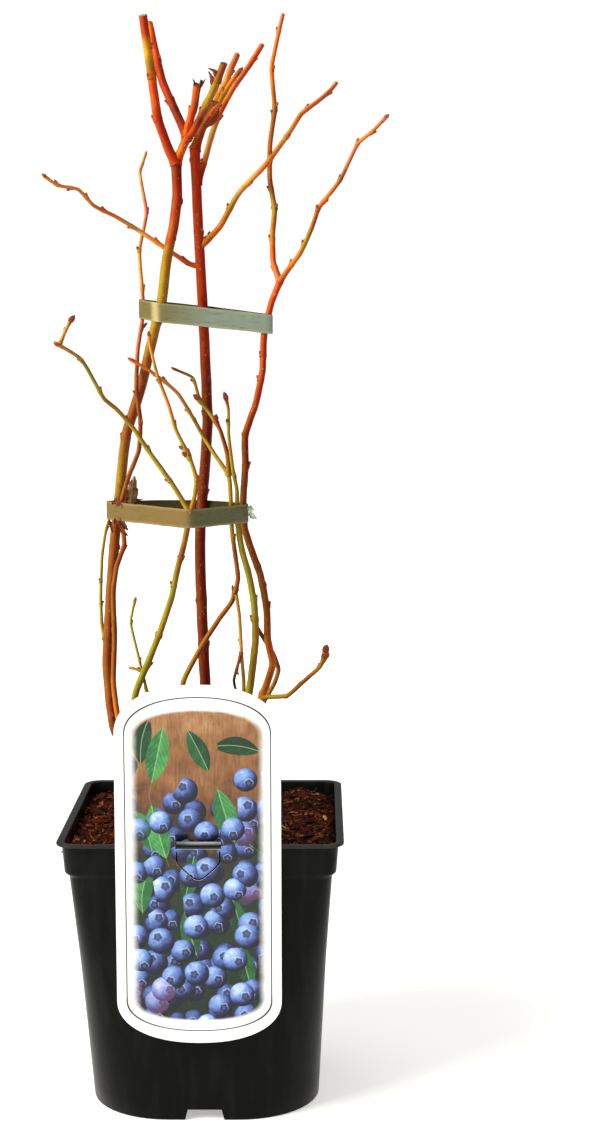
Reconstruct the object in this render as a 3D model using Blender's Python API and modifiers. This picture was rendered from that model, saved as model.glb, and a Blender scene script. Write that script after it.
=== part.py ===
"""Bare blueberry bush in a square nursery pot, with two plastic ties and a hanging picture label.

Units are metres. +Z is up, and the front, with the label, faces -Y. The origin is the middle of the pot's
underside. Lengths in the tables below are written in millimetres.
"""

import math
from typing import NamedTuple

import bmesh
import bpy
from mathutils import Vector

OBJECT_NAME = "blueberry_bush"
MM = 0.001
GAP = 0.3 * MM

# Pot: a square container whose corners grow rounder towards the foot
POT_HEIGHT = 153.0
LIP_HALF = 75.0
LIP_CORNER = 10.0
LIP_THICKNESS = 1.4
COLLAR_TOP_HALF = 72.1
COLLAR_FOOT_HALF = 71.0
COLLAR_CORNER = 8.0
COLLAR_FOOT_Z = 136.5
BODY_TOP_Z = 134.0
BODY_TOP_HALF = 68.8
BODY_TOP_CORNER = 8.0
BODY_MID_Z = 83.5
BODY_MID_HALF = 65.5
BODY_FOOT_HALF = 61.6
BODY_FOOT_CORNER = 43.0
WALL = 1.3
FLOOR_Z = 8.0
CORNER_STEPS = 6
DRAIN_WIDTH = 24.0
DRAIN_HEIGHT = 6.0
DRAIN_REACH = 34.0
DRAIN_TAPER = 0.75
DRAIN_OFFSET = 1.0
SIDES = 4

# Potting mix: flat round the canes' feet, lumpy beyond, and lower along the walls
SOIL_TOP = 147.0
SOIL_EDGE = 145.0
SOIL_FLAT_RADIUS = 26.0
SOIL_FADE = 12.0
SOIL_LUMP = 1.6
SOIL_LUMP_WAVE = 0.19
SOIL_RINGS = (0.93, 0.78, 0.60, 0.42, 0.22)
SOIL_RING_ROUNDING = 20.0

# Label: a flat card with arched ends, hung on the front lip by a tab that is cut out of it
LABEL_HALF_WIDTH = 42.8
LABEL_CENTRE_X = -0.4
LABEL_BOTTOM = 48.1
LABEL_TOP = 237.6
LABEL_BOTTOM_RISE = 23.0
LABEL_TOP_RISE = 26.0
LABEL_THICKNESS = 0.6
LABEL_ARCH_POWER = 2.2
LABEL_ARCH_STEPS = 14
SLOT_HALF_WIDTH = 11.8
SLOT_BOTTOM = 151.6
SLOT_TOP = 161.0
TAB_HALF_WIDTH = 11.5
TAB_FOOT_Z = 147.3
TAB_BEND_Z = 153.6
TAB_BACK_FROM_LIP = 4.9
TAB_ROOT = 1.0
TAB_FRONT_ROOT = 0.5
SLOT_CUT_DEPTH = 4.0

# Ties: bands drawn round the canes
TIE_HEIGHT = 10.2
TIE_THICKNESS = 0.8
TIE_CIRCLE_STEPS = 12
TIE_SHORTEST_SIDE = 1.2
TIE_SECTIONS = 12
TIE_MARGIN = 1.0

# Canes and twigs
ROUTE_STEP = 11.0
FOOT_Z = SOIL_TOP + 0.3
FOOT_RISE = 5.0
FLARE = 0.45
FLARE_REACH = 7.0
ROUND_FROM_RADIUS = 1.7
BUD_SIDES = 5
BUD_RINGS = 4
BUD_SINK = 0.45
BUD_FOOT_SWELL = 1.25
BUD_TIP_TAPER = 0.5
BUD_ROOT = 0.25
BUD_LEAN = math.radians(38.0)
BUD_TURN = math.radians(47.0)

BARK_ROUGHNESS = 0.55
SHARP_ANGLE = math.radians(50.0)
WELD = 1e-6

BARK_COLOURS = {
    "dark_red": (0.20, 0.035, 0.02),
    "red": (0.40, 0.07, 0.03),
    "orange": (0.52, 0.17, 0.04),
    "brown": (0.30, 0.11, 0.05),
    "olive": (0.32, 0.24, 0.06),
    "green": (0.28, 0.32, 0.06),
}


class Bud(NamedTuple):
    """A bud at a share of its limb's length, on the right (1) or left (-1) as seen from the front."""

    share: float
    side: int
    length: float
    width: float


class Limb(NamedTuple):
    """A tapering cane, bough or twig along a route of (x, y, z) points in millimetres."""

    name: str
    bark: str
    foot_radius: float
    tip_radius: float
    route: tuple
    carrier: tuple = ()
    buds: tuple = ()
    rooted: bool = False


def buds(first, last, count, side, length=2.6, width=1.5):
    """Return count buds spread evenly between two shares of a limb, on alternate sides."""
    spread = (last - first) / max(count - 1, 1)
    return tuple(
        Bud(first + spread * index, side if index % 2 == 0 else -side, length, width)
        for index in range(count)
    )


CANES = (
    Limb("cane_centre", "dark_red", 3.0, 2.3, (
        (3, 8, FOOT_Z), (2, 10, 180), (-1, 13, 221), (-3.5, 18, 290), (-3, 19, 313), (-0.5, 17, 340),
        (1.5, 13, 367.5), (0, 6, 424.5), (-2, 4, 469.5), (-3.5, 2, 511.5),
    ), (), (Bud(0.22, 1, 2.4, 1.6), Bud(0.50, 1, 2.2, 1.5), Bud(0.885, 1, 2.6, 1.3)), True),
    Limb("cane_left", "olive", 2.5, 2.2, (
        (-17, 5, FOOT_Z), (-25, 5, 163), (-42, 2, 183), (-50.5, 1, 200), (-54.5, 8, 234), (-53, 12, 266),
        (-50.5, 15, 299), (-47.5, 15, 325), (-42.5, 8, 359.5), (-33.5, -1, 385.5), (-25.5, -9, 415),
        (-21, -12, 431), (-18, -10, 454.5), (-14.5, -8, 471), (-12.5, -6, 487), (-13, -5, 504),
    ), (), (Bud(0.44, 1, 2.0, 1.8), Bud(0.925, 1, 3.0, 1.8)), True),
    Limb("cane_slim", "orange", 1.4, 0.6, (
        (-22, -8, FOOT_Z), (-29, -7, 165), (-43, -5, 190), (-48, -4, 207), (-50.5, 0, 226), (-50, 5, 249),
        (-50.5, 6, 274), (-48.5, 7, 288), (-44.5, 9, 300), (-45.5, 10, 311), (-45.2, 9.5, 325),
        (-41, 5, 338), (-35, -1, 352), (-33.5, -6, 368), (-35, -10, 386), (-34.5, -5, 406), (-32, 3.5, 427),
        (-34, 8, 459), (-30.5, 13, 479), (-34.5, 22, 501), (-31.5, 26, 511.5),
    ), (), buds(0.30, 0.42, 2, -1, 1.8, 1.2) + buds(0.66, 0.95, 5, 1, 2.4, 1.3), True),
    Limb("cane_front", "green", 1.9, 1.25, (
        (-8, -13, FOOT_Z), (-14, -14, 170), (-29, -20, 203), (-37, -22, 220), (-28, -23, 243.5),
        (-22.5, -24, 257.5), (-16.5, -26, 275), (-12.5, -27, 292.5), (-9, -28, 305), (-5.8, -28.5, 321),
    ), (), buds(0.48, 0.84, 4, 1, 1.8, 1.2), True),
    Limb("cane_right", "red", 1.9, 1.45, (
        (15, 8, FOOT_Z), (19, 8, 172), (26.5, 8, 205), (33, 8, 222), (36.5, 7, 234), (34, 5, 247.5),
        (33.5, 3, 265.5), (30, 2, 284.5), (26, 1, 296), (21.8, 0.5, 310), (21.2, 0, 325), (22.5, 0, 344),
        (22.5, 0, 360), (28.5, -1, 378), (32, -2, 395), (33, -2, 414), (37, -2, 431), (41.5, -2, 442),
    ), (), buds(0.40, 0.56, 3, 1, 2.2, 1.4) + buds(0.69, 0.80, 2, 1, 2.0, 1.3), True),
    Limb("cane_green_right", "green", 2.3, 1.3, (
        (9, -2, FOOT_Z), (13, -2, 180), (23.5, -2, 218), (27.5, -4, 249), (27, -5, 268.5),
        (24, -5, 285.5), (20.5, -5, 298.5), (18.6, -4.8, 311), (18.2, -4.8, 320.5),
    ), (), buds(0.70, 0.84, 2, -1, 2.2, 1.4), True),
    Limb("cane_crossing", "brown", 1.5, 0.6, (
        (-7, 0, FOOT_Z), (-12, 0, 185), (-12.5, 0, 224), (-1.5, 4, 245.5), (8, 0, 260.5), (15, -3, 270.5),
        (18.3, -6, 283), (16.8, -7.5, 297), (15.2, -8, 310.5), (14.8, -8, 325.5), (13.5, -4, 338.5),
        (5.5, 2, 350), (0, 5, 358.5), (-5.5, 2, 369), (-13, -5, 382.5), (-19.5, -10, 389), (-27, -15, 395),
        (-37.5, -18, 401.5),
    ), (), (Bud(0.42, -1, 4.5, 1.4), Bud(0.845, 1, 2.2, 1.3), Bud(0.93, 1, 2.6, 1.6)), True),
    Limb("cane_thin_right", "olive", 0.95, 0.7, (
        (4, -10, FOOT_Z), (10, -11, 185), (21, -9, 222), (20, -9, 243), (19, -9.5, 263.5), (17.5, -8.4, 274),
    ), (), buds(0.72, 0.93, 2, -1, 1.6, 1.1), True),
    Limb("cane_back_loop", "brown", 1.3, 0.9, (
        (8, 15, FOOT_Z), (16, 16, 180), (29, 16, 207), (37, 19, 220.5), (39.5, 20, 228.5), (36.5, 16, 238.5),
        (32, 10, 247), (28.3, -1, 255.5),
    ), (), (), True),
    Limb("cane_low_right", "orange", 1.1, 0.7, (
        (18, 0, FOOT_Z), (22, -1, 185), (29, -2, 213), (32, -3, 217), (44.5, -8, 219), (52, -14, 226.5),
        (63, -24, 238.5), (66, -28, 248.5),
    ), (), (Bud(0.84, -1, 1.8, 1.2), Bud(0.985, 1, 4.2, 3.0), Bud(1.0, -1, 4.2, 2.8)), True),
)

BOUGHS = (
    Limb("bough_left_outer", "red", 2.05, 2.05, (
        (-13, -5, 504), (-17.5, -6, 510), (-24.5, -10, 526.5), (-26.5, -15, 548), (-29, -22, 578.5),
    ), ("cane_left",), buds(0.28, 0.72, 2, -1, 2.4, 1.4)),
    Limb("bough_left_fork", "red", 1.95, 1.85, (
        (-13, -5, 504), (-10.5, -4.5, 510), (-7, -4, 517.5),
    ), ("cane_left", "bough_left_outer"), ()),
    Limb("bough_left_inner", "red", 1.8, 1.65, (
        (-7, -4, 517.5), (-13, 2, 530.5), (-21, 9, 548.5), (-29, 18, 580),
    ), ("bough_left_fork",), (Bud(0.42, 1, 2.4, 1.4),)),
    Limb("bough_left", "orange", 1.05, 0.55, (
        (-1.5, 5, 450.5), (-6.5, 4, 451.5), (-16, 0, 457.5), (-34, 1, 469.5), (-45.5, -8, 476.5),
        (-55.5, -16, 481.5), (-63, -22, 489.5), (-73, -28, 491.5), (-79.5, -32, 496),
    ), ("cane_centre",), buds(0.10, 0.97, 7, 1, 2.8, 1.5)),
    Limb("bough_right", "orange", 1.4, 0.9, (
        (-2, 4, 460), (2.5, 4, 464), (9.5, 5, 471.5), (19.5, 7, 489), (34, 8, 504), (47, 14, 522),
        (53, 18, 531.5), (62.5, 22, 539), (68.5, 26, 544.5), (72, 28, 549),
    ), ("cane_centre",), buds(0.16, 0.92, 6, 1, 2.4, 1.4)),
    Limb("bough_right_upright", "red", 1.3, 0.8, (
        (41.5, -2, 442), (38, 2, 452.5), (37.5, 7, 467), (38.5, 12, 481), (36, 17, 496.5), (36, 22, 515.5),
        (38.5, 26, 535), (37, 29, 557), (41.5, 31, 579), (43, 32, 585.5),
    ), ("cane_right",), buds(0.07, 0.92, 8, -1, 2.4, 1.4)),
    Limb("bough_right_spreading", "orange", 1.15, 0.6, (
        (41.5, -2, 442), (45, -5, 447), (52.5, -11, 457), (58.5, -17, 469.5), (62.5, -22, 480),
        (73, -30, 493), (82.5, -38, 511.5), (89.5, -41, 517), (96.5, -45, 524),
    ), ("cane_right", "bough_right_upright"), buds(0.12, 0.86, 6, 1, 2.4, 1.4) + (Bud(0.99, 1, 3.2, 1.8),)),
    Limb("bough_top_right", "red", 1.4, 1.2, (
        (-2, 3, 494), (1, 8, 505), (5, 15, 520.5), (8.5, 20, 531), (15.5, 26, 545), (25, 32, 559),
        (31.5, 36, 570),
    ), ("cane_centre",), buds(0.08, 0.55, 3, 1, 2.2, 1.4)),
)

TWIGS = (
    Limb("twig_left_green", "green", 0.8, 0.5, (
        (-54.5, 9, 240), (-58, 14.5, 254.5), (-58.5, 16, 271), (-57.5, 17, 293), (-55, 18.5, 308.5),
        (-52, 19.5, 317),
    ), ("cane_left",), buds(0.35, 0.85, 3, -1, 1.6, 1.1)),
    Limb("twig_over_centre", "olive", 1.05, 0.4, (
        (13.5, -4, 338.5), (13, -3.5, 349.5), (9, -1, 363), (3.5, 3, 371.5), (-2, 3, 379), (-5.5, 0, 391),
        (-12, -3, 394.5), (-15.5, -5, 396),
    ), ("cane_crossing",), (Bud(0.47, 1, 4.6, 2.6), Bud(0.66, -1, 4.4, 2.6), Bud(0.83, 1, 2.4, 1.3))),
    Limb("twig_tie_right", "olive", 0.85, 0.5, (
        (18.2, -4.8, 320.5), (18, -5.5, 331), (16, -7.5, 342), (14, -10, 361), (14, -12, 374.5),
        (13, -15, 381),
    ), ("cane_green_right",), (Bud(0.72, -1, 2.4, 1.4), Bud(0.98, -1, 5.2, 2.2))),
    Limb("twig_dark_hook", "brown", 0.65, 0.5, (
        (20, -9, 243), (18, -11.5, 236), (16, -13, 228.5), (17, -12.6, 222.5),
    ), ("cane_thin_right",), (Bud(0.45, -1, 3.2, 1.0),)),
    Limb("twig_front_left", "green", 1.1, 0.6, (
        (-5.8, -28.5, 321), (-13.5, -29, 338.5), (-26, -30, 353), (-33, -31, 367), (-43.5, -34, 376),
        (-49.5, -37, 381.5), (-57.5, -43, 397.5), (-61, -46, 403), (-72, -52, 410.5),
    ), ("cane_front",), buds(0.16, 0.80, 4, -1, 2.2, 1.3) + (Bud(0.99, -1, 3.4, 1.8),)),
    Limb("twig_front_left_tip", "olive", 0.65, 0.5, (
        (-61, -46, 403), (-65.5, -46.5, 410.5), (-67.5, -47, 416.5), (-65.5, -46, 421),
    ), ("twig_front_left",), (Bud(0.62, -1, 2.0, 1.2), Bud(0.98, 1, 4.6, 2.4))),
    Limb("twig_front_right", "green", 0.95, 0.45, (
        (-5.8, -28.5, 321), (-3.5, -28.5, 329.5), (-2.5, -28, 339), (-6, -27, 350), (-13, -26, 364.5),
        (-17, -25, 378), (-22.5, -25, 393), (-26, -26, 408), (-26.5, -27, 415),
    ), ("cane_front", "twig_front_left"), (
        Bud(0.17, 1, 2.2, 1.3), Bud(0.27, -1, 3.2, 1.8), Bud(0.34, 1, 2.4, 1.4), Bud(0.74, -1, 2.0, 1.2),
        Bud(0.99, -1, 3.0, 1.5),
    )),
)

# Twig masses: several twigs joined into one solid, from one stem
TWIG_MASSES = {
    "twigs_left_head": (
        Limb("shoot_short", "red", 1.7, 1.55, (
            (-7, -4, 517.5), (-6, -8, 523.5), (-2.5, -14, 533), (-1, -18, 541.5),
        ), ("bough_left_fork", "bough_left_inner"), (Bud(0.62, -1, 2.2, 1.4),)),
        Limb("shoot_tall", "olive", 1.75, 1.6, (
            (-7, -4, 517.5), (-3.5, -8, 520.5), (3.5, -16, 532.5), (9.5, -22, 543.5), (13.5, -27, 552.5),
        ), (), (Bud(0.70, -1, 4.0, 1.5), Bud(0.84, -1, 5.0, 1.6))),
        Limb("shoot_dead", "brown", 0.7, 0.4, (
            (-2.3, -13.8, 531.5), (-0.5, -17.8, 538), (1.5, -19, 545),
        ), (), (Bud(0.72, -1, 2.6, 1.0),)),
    ),
    "twigs_centre_head": (
        Limb("shoot_knotted", "red", 2.1, 1.35, (
            (-3.5, 2, 511.5), (1, 4, 524.5), (7, 9, 535.5), (12, 14, 546.5), (15, 18, 554.5), (18.5, 22, 563),
        ), ("cane_centre",), (Bud(0.42, 1, 4.4, 2.2), Bud(0.30, -1, 3.6, 2.0))),
        Limb("shoot_olive", "olive", 1.3, 0.85, (
            (1, 4, 524.5), (4, -1, 528), (9.5, -6, 534.5), (15, -10, 543), (21, -14, 550.5),
        ), (), (Bud(0.62, -1, 3.4, 1.5), Bud(0.98, 1, 3.6, 1.6))),
    ),
    "twigs_low_green": (
        Limb("shoot_low", "olive", 0.55, 0.45, (
            (-30.5, -21.2, 223.5), (-32, -20.7, 231), (-33.5, -19, 236), (-36, -16, 245.5), (-39.5, -12, 260),
            (-37.5, -8, 271.5),
        ), (), (Bud(0.70, -1, 2.0, 1.1), Bud(0.99, 1, 3.4, 1.5))),
        Limb("shoot_low_side", "olive", 0.5, 0.4, (
            (-33, -19.6, 234.5), (-38.5, -19.5, 236.5),
        ), (), (Bud(0.95, -1, 1.8, 1.0),)),
    ),
}

# Each tie: the canes it is drawn round, its middle height, and its slope to the right and to the back
TIES = {
    "tie_lower": (("cane_left", "cane_slim", "twig_left_green", "cane_front", "cane_centre", "cane_crossing",
                   "cane_green_right", "cane_right"), 318.0, 0.0, 0.0),
    "tie_upper": (("cane_left", "cane_slim", "cane_centre", "cane_right"), 424.0, -0.114, 0.04),
}


def clear_scene():
    """Remove every object from the scene."""
    for thing in list(bpy.data.objects):
        bpy.data.objects.remove(thing, do_unlink=True)


def collection(name, hidden=False):
    """Return a new collection in the scene."""
    group = bpy.data.collections.new(name)
    bpy.context.scene.collection.children.link(group)
    group.hide_render = hidden
    return group


def material(name, colour, roughness):
    """Return the named Principled material, made once."""
    found = bpy.data.materials.get(name)
    if found:
        return found
    made = bpy.data.materials.new(name)
    made.use_nodes = True
    shader = made.node_tree.nodes["Principled BSDF"]
    shader.inputs["Base Color"].default_value = (*colour, 1.0)
    shader.inputs["Roughness"].default_value = roughness
    shader.inputs["Metallic"].default_value = 0.0
    made.diffuse_color = (*colour, 1.0)
    return made


def mesh_object(name, mesh, group, finish=None):
    """Link a new object that holds the mesh."""
    made = bpy.data.objects.new(name, mesh)
    group.objects.link(made)
    if finish:
        dress(made, finish)
    return made


def bmesh_object(name, bm, group, finish=None):
    """Turn a finished bmesh into an object with its faces pointing out."""
    bmesh.ops.recalc_face_normals(bm, faces=bm.faces)
    mesh = bpy.data.meshes.new(name)
    bm.to_mesh(mesh)
    bm.free()
    return mesh_object(name, mesh, group, finish)


def baked(thing, group, weld=0.0):
    """Replace an object by a plain mesh object of the same name, as its modifiers leave it."""
    graph = bpy.context.evaluated_depsgraph_get()
    graph.update()
    mesh = bpy.data.meshes.new_from_object(thing.evaluated_get(graph))
    name, place = thing.name, thing.matrix_world.copy()
    bpy.data.objects.remove(thing, do_unlink=True)
    if weld:
        bm = bmesh.new()
        bm.from_mesh(mesh)
        bmesh.ops.remove_doubles(bm, verts=bm.verts, dist=weld)
        bm.to_mesh(mesh)
        bm.free()
    made = mesh_object(name, mesh, group)
    made.matrix_world = place
    return made


def combine(base, operand, operation, group, solver="EXACT"):
    """Apply one Boolean to base. The operand is an object or a collection, and its objects are removed."""
    cut = base.modifiers.new(operation.lower(), "BOOLEAN")
    cut.operation = operation
    cut.solver = solver
    if isinstance(operand, bpy.types.Collection):
        cut.operand_type = "COLLECTION"
        cut.collection = operand
        used = list(operand.objects)
    else:
        cut.object = operand
        used = [operand]
    made = baked(base, group)
    for thing in used:
        bpy.data.objects.remove(thing, do_unlink=True)
    return made


def dress(thing, finish):
    """Give an object one material."""
    thing.data.materials.clear()
    thing.data.materials.append(finish)


def keep_largest(thing):
    """Drop every loose scrap of a mesh but its largest piece."""
    bm = bmesh.new()
    bm.from_mesh(thing.data)
    waiting, pieces = set(bm.verts), []
    while waiting:
        stack = [waiting.pop()]
        piece = set(stack)
        while stack:
            for edge in stack.pop().link_edges:
                for vertex in edge.verts:
                    if vertex in waiting:
                        waiting.remove(vertex)
                        piece.add(vertex)
                        stack.append(vertex)
        pieces.append(piece)
    largest = max(pieces, key=len)
    bmesh.ops.delete(bm, geom=[v for v in bm.verts if v not in largest], context="VERTS")
    bm.to_mesh(thing.data)
    bm.free()


# Pot, potting mix and label
def square_ring(half, corner, z):
    """Return the points of a square with round corners, counter-clockwise from above."""
    points = []
    middle = Vector((half - corner, half - corner))
    for quarter in range(SIDES):
        for step in range(CORNER_STEPS + 1):
            angle = math.radians(90.0 * step / CORNER_STEPS)
            spot = middle + corner * Vector((math.cos(angle), math.sin(angle)))
            turn = math.radians(90.0 * quarter)
            x = spot.x * math.cos(turn) - spot.y * math.sin(turn)
            y = spot.x * math.sin(turn) + spot.y * math.cos(turn)
            points.append(Vector((x, y, z)) * MM)
    return points


def loft(bm, rings):
    """Skin rings of equal length and cap the first and the last."""
    rows = [[bm.verts.new(point) for point in ring] for ring in rings]
    for low, high in zip(rows, rows[1:]):
        for index in range(len(low)):
            after = (index + 1) % len(low)
            bm.faces.new((low[index], low[after], high[after], high[index]))
    bm.faces.new(rows[0][::-1])
    bm.faces.new(rows[-1])


def body_corner(z):
    """Return the body's corner radius at a height."""
    return BODY_FOOT_CORNER + (BODY_TOP_CORNER - BODY_FOOT_CORNER) * z / BODY_TOP_Z


def body_half(z):
    """Return the body's half width at a height below the collar."""
    if z < BODY_MID_Z:
        return BODY_FOOT_HALF + (BODY_MID_HALF - BODY_FOOT_HALF) * z / BODY_MID_Z
    share = (z - BODY_MID_Z) / (BODY_TOP_Z - BODY_MID_Z)
    return BODY_MID_HALF + (BODY_TOP_HALF - BODY_MID_HALF) * share


def inner_rings(inset):
    """Return the pot's inner wall from the lip down to the floor, moved inwards by inset."""
    half_and_corner = (
        (POT_HEIGHT, COLLAR_TOP_HALF, COLLAR_CORNER),
        (COLLAR_FOOT_Z, COLLAR_FOOT_HALF, COLLAR_CORNER),
        (BODY_TOP_Z, BODY_TOP_HALF, BODY_TOP_CORNER),
        (BODY_MID_Z, body_half(BODY_MID_Z), body_corner(BODY_MID_Z)),
        (FLOOR_Z, body_half(FLOOR_Z), body_corner(FLOOR_Z)),
    )
    return [(z, half - inset, corner - inset) for z, half, corner in half_and_corner]


def build_pot(group, cutters):
    """Build the pot: one wall with a collar and a flat lip, and drain channels under its floor."""
    lip_under = POT_HEIGHT - LIP_THICKNESS
    outer = [
        square_ring(BODY_FOOT_HALF, BODY_FOOT_CORNER, 0.0),
        square_ring(BODY_MID_HALF, body_corner(BODY_MID_Z), BODY_MID_Z),
        square_ring(BODY_TOP_HALF, BODY_TOP_CORNER, BODY_TOP_Z),
        square_ring(COLLAR_FOOT_HALF, COLLAR_CORNER, COLLAR_FOOT_Z),
        square_ring(COLLAR_TOP_HALF, COLLAR_CORNER, lip_under),
        square_ring(LIP_HALF, LIP_CORNER, lip_under),
        square_ring(LIP_HALF, LIP_CORNER, POT_HEIGHT),
    ]
    inner = [square_ring(half, corner, z) for z, half, corner in inner_rings(WALL)]
    bm = bmesh.new()
    loft(bm, outer + inner)
    pot = bmesh_object("pot", bm, group)
    for quarter in range(SIDES):
        channel = drain_cutter(quarter, cutters)
        pot = combine(pot, channel, "DIFFERENCE", group)
    dress(pot, material("black_plastic", (0.012, 0.012, 0.011), 0.32))


def drain_cutter(quarter, cutters):
    """Return a cutter with slanted sides that opens one side of the foot."""
    bm = bmesh.new()
    bmesh.ops.create_cube(bm, size=1.0)
    for vertex in bm.verts:
        width = DRAIN_WIDTH * (DRAIN_TAPER if vertex.co.z > 0 else 1.0)
        vertex.co.x = (vertex.co.x * width + DRAIN_OFFSET) * MM
        vertex.co.y = (-BODY_FOOT_HALF + vertex.co.y * DRAIN_REACH * 2.0) * MM
        vertex.co.z = vertex.co.z * DRAIN_HEIGHT * 2.0 * MM
    cutter = bmesh_object(f"drain_cutter_{quarter}", bm, cutters)
    cutter.rotation_euler.z = math.radians(90.0 * quarter)
    cutter.hide_render = True
    cutter.display_type = "WIRE"
    return cutter


def soil_height(x, y):
    """Return the height of the potting mix: flat in the middle and lumpy outside it."""
    reach = math.hypot(x, y)
    lumpy = min(max((reach - SOIL_FLAT_RADIUS) / SOIL_FADE, 0.0), 1.0)
    wave = SOIL_LUMP_WAVE
    lump = math.sin(wave * x + 1.3) * math.cos(wave * 1.3 * y) + 0.5 * math.sin(wave * 2.1 * (x + y))
    return SOIL_TOP + SOIL_LUMP * lumpy * lump


def build_soil(group):
    """Build the potting mix: it fills the pot and its top is lumpy."""
    clear = WALL + GAP / MM
    walls = inner_rings(clear)[::-1][:-1]
    floor_z = FLOOR_Z + GAP / MM
    rings = [square_ring(half, corner, max(z, floor_z)) for z, half, corner in walls]
    edge_share = (SOIL_EDGE - COLLAR_FOOT_Z) / (POT_HEIGHT - COLLAR_FOOT_Z)
    edge_half = COLLAR_FOOT_HALF + (COLLAR_TOP_HALF - COLLAR_FOOT_HALF) * edge_share - clear
    rings.append(square_ring(edge_half, COLLAR_CORNER - clear, SOIL_EDGE))
    for share in SOIL_RINGS:
        corner = COLLAR_CORNER + SOIL_RING_ROUNDING * (1.0 - share) * share
        ring = square_ring(edge_half * share, corner, 0.0)
        for point in ring:
            point.z = soil_height(point.x / MM, point.y / MM) * MM
        rings.append(ring)
    bm = bmesh.new()
    loft(bm, rings)
    bmesh_object("potting_mix", bm, group, material("potting_mix", (0.10, 0.035, 0.018), 0.92))


def arch(centre_z, rise, sign):
    """Return one end of the outline: a flattened arch over the card (sign 1) or under it (-1)."""
    points = []
    power = 2.0 / LABEL_ARCH_POWER
    for step in range(LABEL_ARCH_STEPS + 1):
        angle = math.pi * step / LABEL_ARCH_STEPS
        across, up = math.cos(angle), math.sin(angle)
        x = math.copysign(abs(across) ** power, across) * LABEL_HALF_WIDTH * sign
        points.append((x + LABEL_CENTRE_X, centre_z + sign * rise * abs(up) ** power))
    return points


def extruded(corners, push):
    """Return a bmesh of the flat outline in millimetres, pushed out into a solid."""
    bm = bmesh.new()
    face = bm.faces.new([bm.verts.new(corner * MM) for corner in corners])
    for part in bmesh.ops.extrude_face_region(bm, geom=[face])["geom"]:
        if isinstance(part, bmesh.types.BMVert):
            part.co += push * MM
    return bm


def build_label(group, cutters):
    """Build the label: an arched card with a slot, and the tab that hooks it over the pot's lip."""
    outline = arch(LABEL_TOP - LABEL_TOP_RISE, LABEL_TOP_RISE, 1)
    outline += arch(LABEL_BOTTOM + LABEL_BOTTOM_RISE, LABEL_BOTTOM_RISE, -1)
    back = -LIP_HALF - GAP / MM
    front = back - LABEL_THICKNESS
    corners = [Vector((x, front, z)) for x, z in outline]
    card = bmesh_object("label", extruded(corners, Vector((0.0, back - front, 0.0))), group)
    bm = bmesh.new()
    bmesh.ops.create_cube(bm, size=1.0)
    for vertex in bm.verts:
        vertex.co.x *= 2.0 * SLOT_HALF_WIDTH * MM
        vertex.co.x += LABEL_CENTRE_X * MM
        vertex.co.y = ((front + back) / 2.0 + vertex.co.y * SLOT_CUT_DEPTH) * MM
        vertex.co.z = (SLOT_BOTTOM if vertex.co.z < 0 else SLOT_TOP) * MM
    card = combine(card, bmesh_object("slot_cutter", bm, cutters), "DIFFERENCE", group)
    card = combine(card, build_tab(front, back, cutters), "UNION", group)
    dress(card, material("label_card", (0.80, 0.80, 0.78), 0.4))


def build_tab(front, back, cutters):
    """Return the tab: it leans back over the lip and runs down inside the wall."""
    behind = -LIP_HALF + TAB_BACK_FROM_LIP
    half = LABEL_THICKNESS / 2.0
    middle = (front + back) / 2.0
    profile = (
        (middle - half, SLOT_TOP + TAB_ROOT), (middle + half, SLOT_TOP + TAB_ROOT),
        (behind + half, TAB_BEND_Z), (behind + half, TAB_FOOT_Z),
        (behind - half, TAB_FOOT_Z), (behind - half, TAB_BEND_Z),
        (middle - half, SLOT_TOP - TAB_FRONT_ROOT),
    )
    corners = [Vector((LABEL_CENTRE_X - TAB_HALF_WIDTH, y, z)) for y, z in profile]
    return bmesh_object("label_tab", extruded(corners, Vector((2.0 * TAB_HALF_WIDTH, 0.0, 0.0))), cutters)


# Canes, boughs and twigs
def smooth_route(route, step):
    """Return points about step apart on a smooth curve through the route's own points."""
    spots = [Vector(point) for point in route]
    knots = [0.0]
    for before, after in zip(spots, spots[1:]):
        knots.append(knots[-1] + (after - before).length)
    slopes = []
    for index in range(len(spots)):
        low, high = max(index - 1, 0), min(index + 1, len(spots) - 1)
        slopes.append((spots[high] - spots[low]) / (knots[high] - knots[low]))
    points = []
    for index in range(len(spots) - 1):
        span = knots[index + 1] - knots[index]
        pieces = max(1, round(span / step))
        for piece in range(pieces):
            points.append(hermite(spots, slopes, index, span, piece / pieces))
    points.append(spots[-1])
    return points


def hermite(spots, slopes, index, span, share):
    """Return the point at a share of one stretch of the smooth curve."""
    square, cube = share * share, share * share * share
    start, end = spots[index], spots[index + 1]
    return (
        start * (2.0 * cube - 3.0 * square + 1.0)
        + slopes[index] * span * (cube - 2.0 * square + share)
        + end * (3.0 * square - 2.0 * cube)
        + slopes[index + 1] * span * (cube - square)
    )


def limb_path(limb):
    """Return a limb's points and radii in millimetres, with a flat upright foot on a rooted one."""
    points = smooth_route(limb.route, ROUTE_STEP)
    if limb.rooted:
        foot = points[0]
        points.insert(1, foot + Vector((0.0, 0.0, FOOT_RISE)))
    lengths = [0.0]
    for before, after in zip(points, points[1:]):
        lengths.append(lengths[-1] + (after - before).length)
    radii = []
    for length in lengths:
        share = length / lengths[-1]
        radius = limb.foot_radius + (limb.tip_radius - limb.foot_radius) * share
        if limb.rooted:
            radius *= 1.0 + FLARE * math.exp(-length / FLARE_REACH)
        radii.append(radius)
    return points, radii


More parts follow.
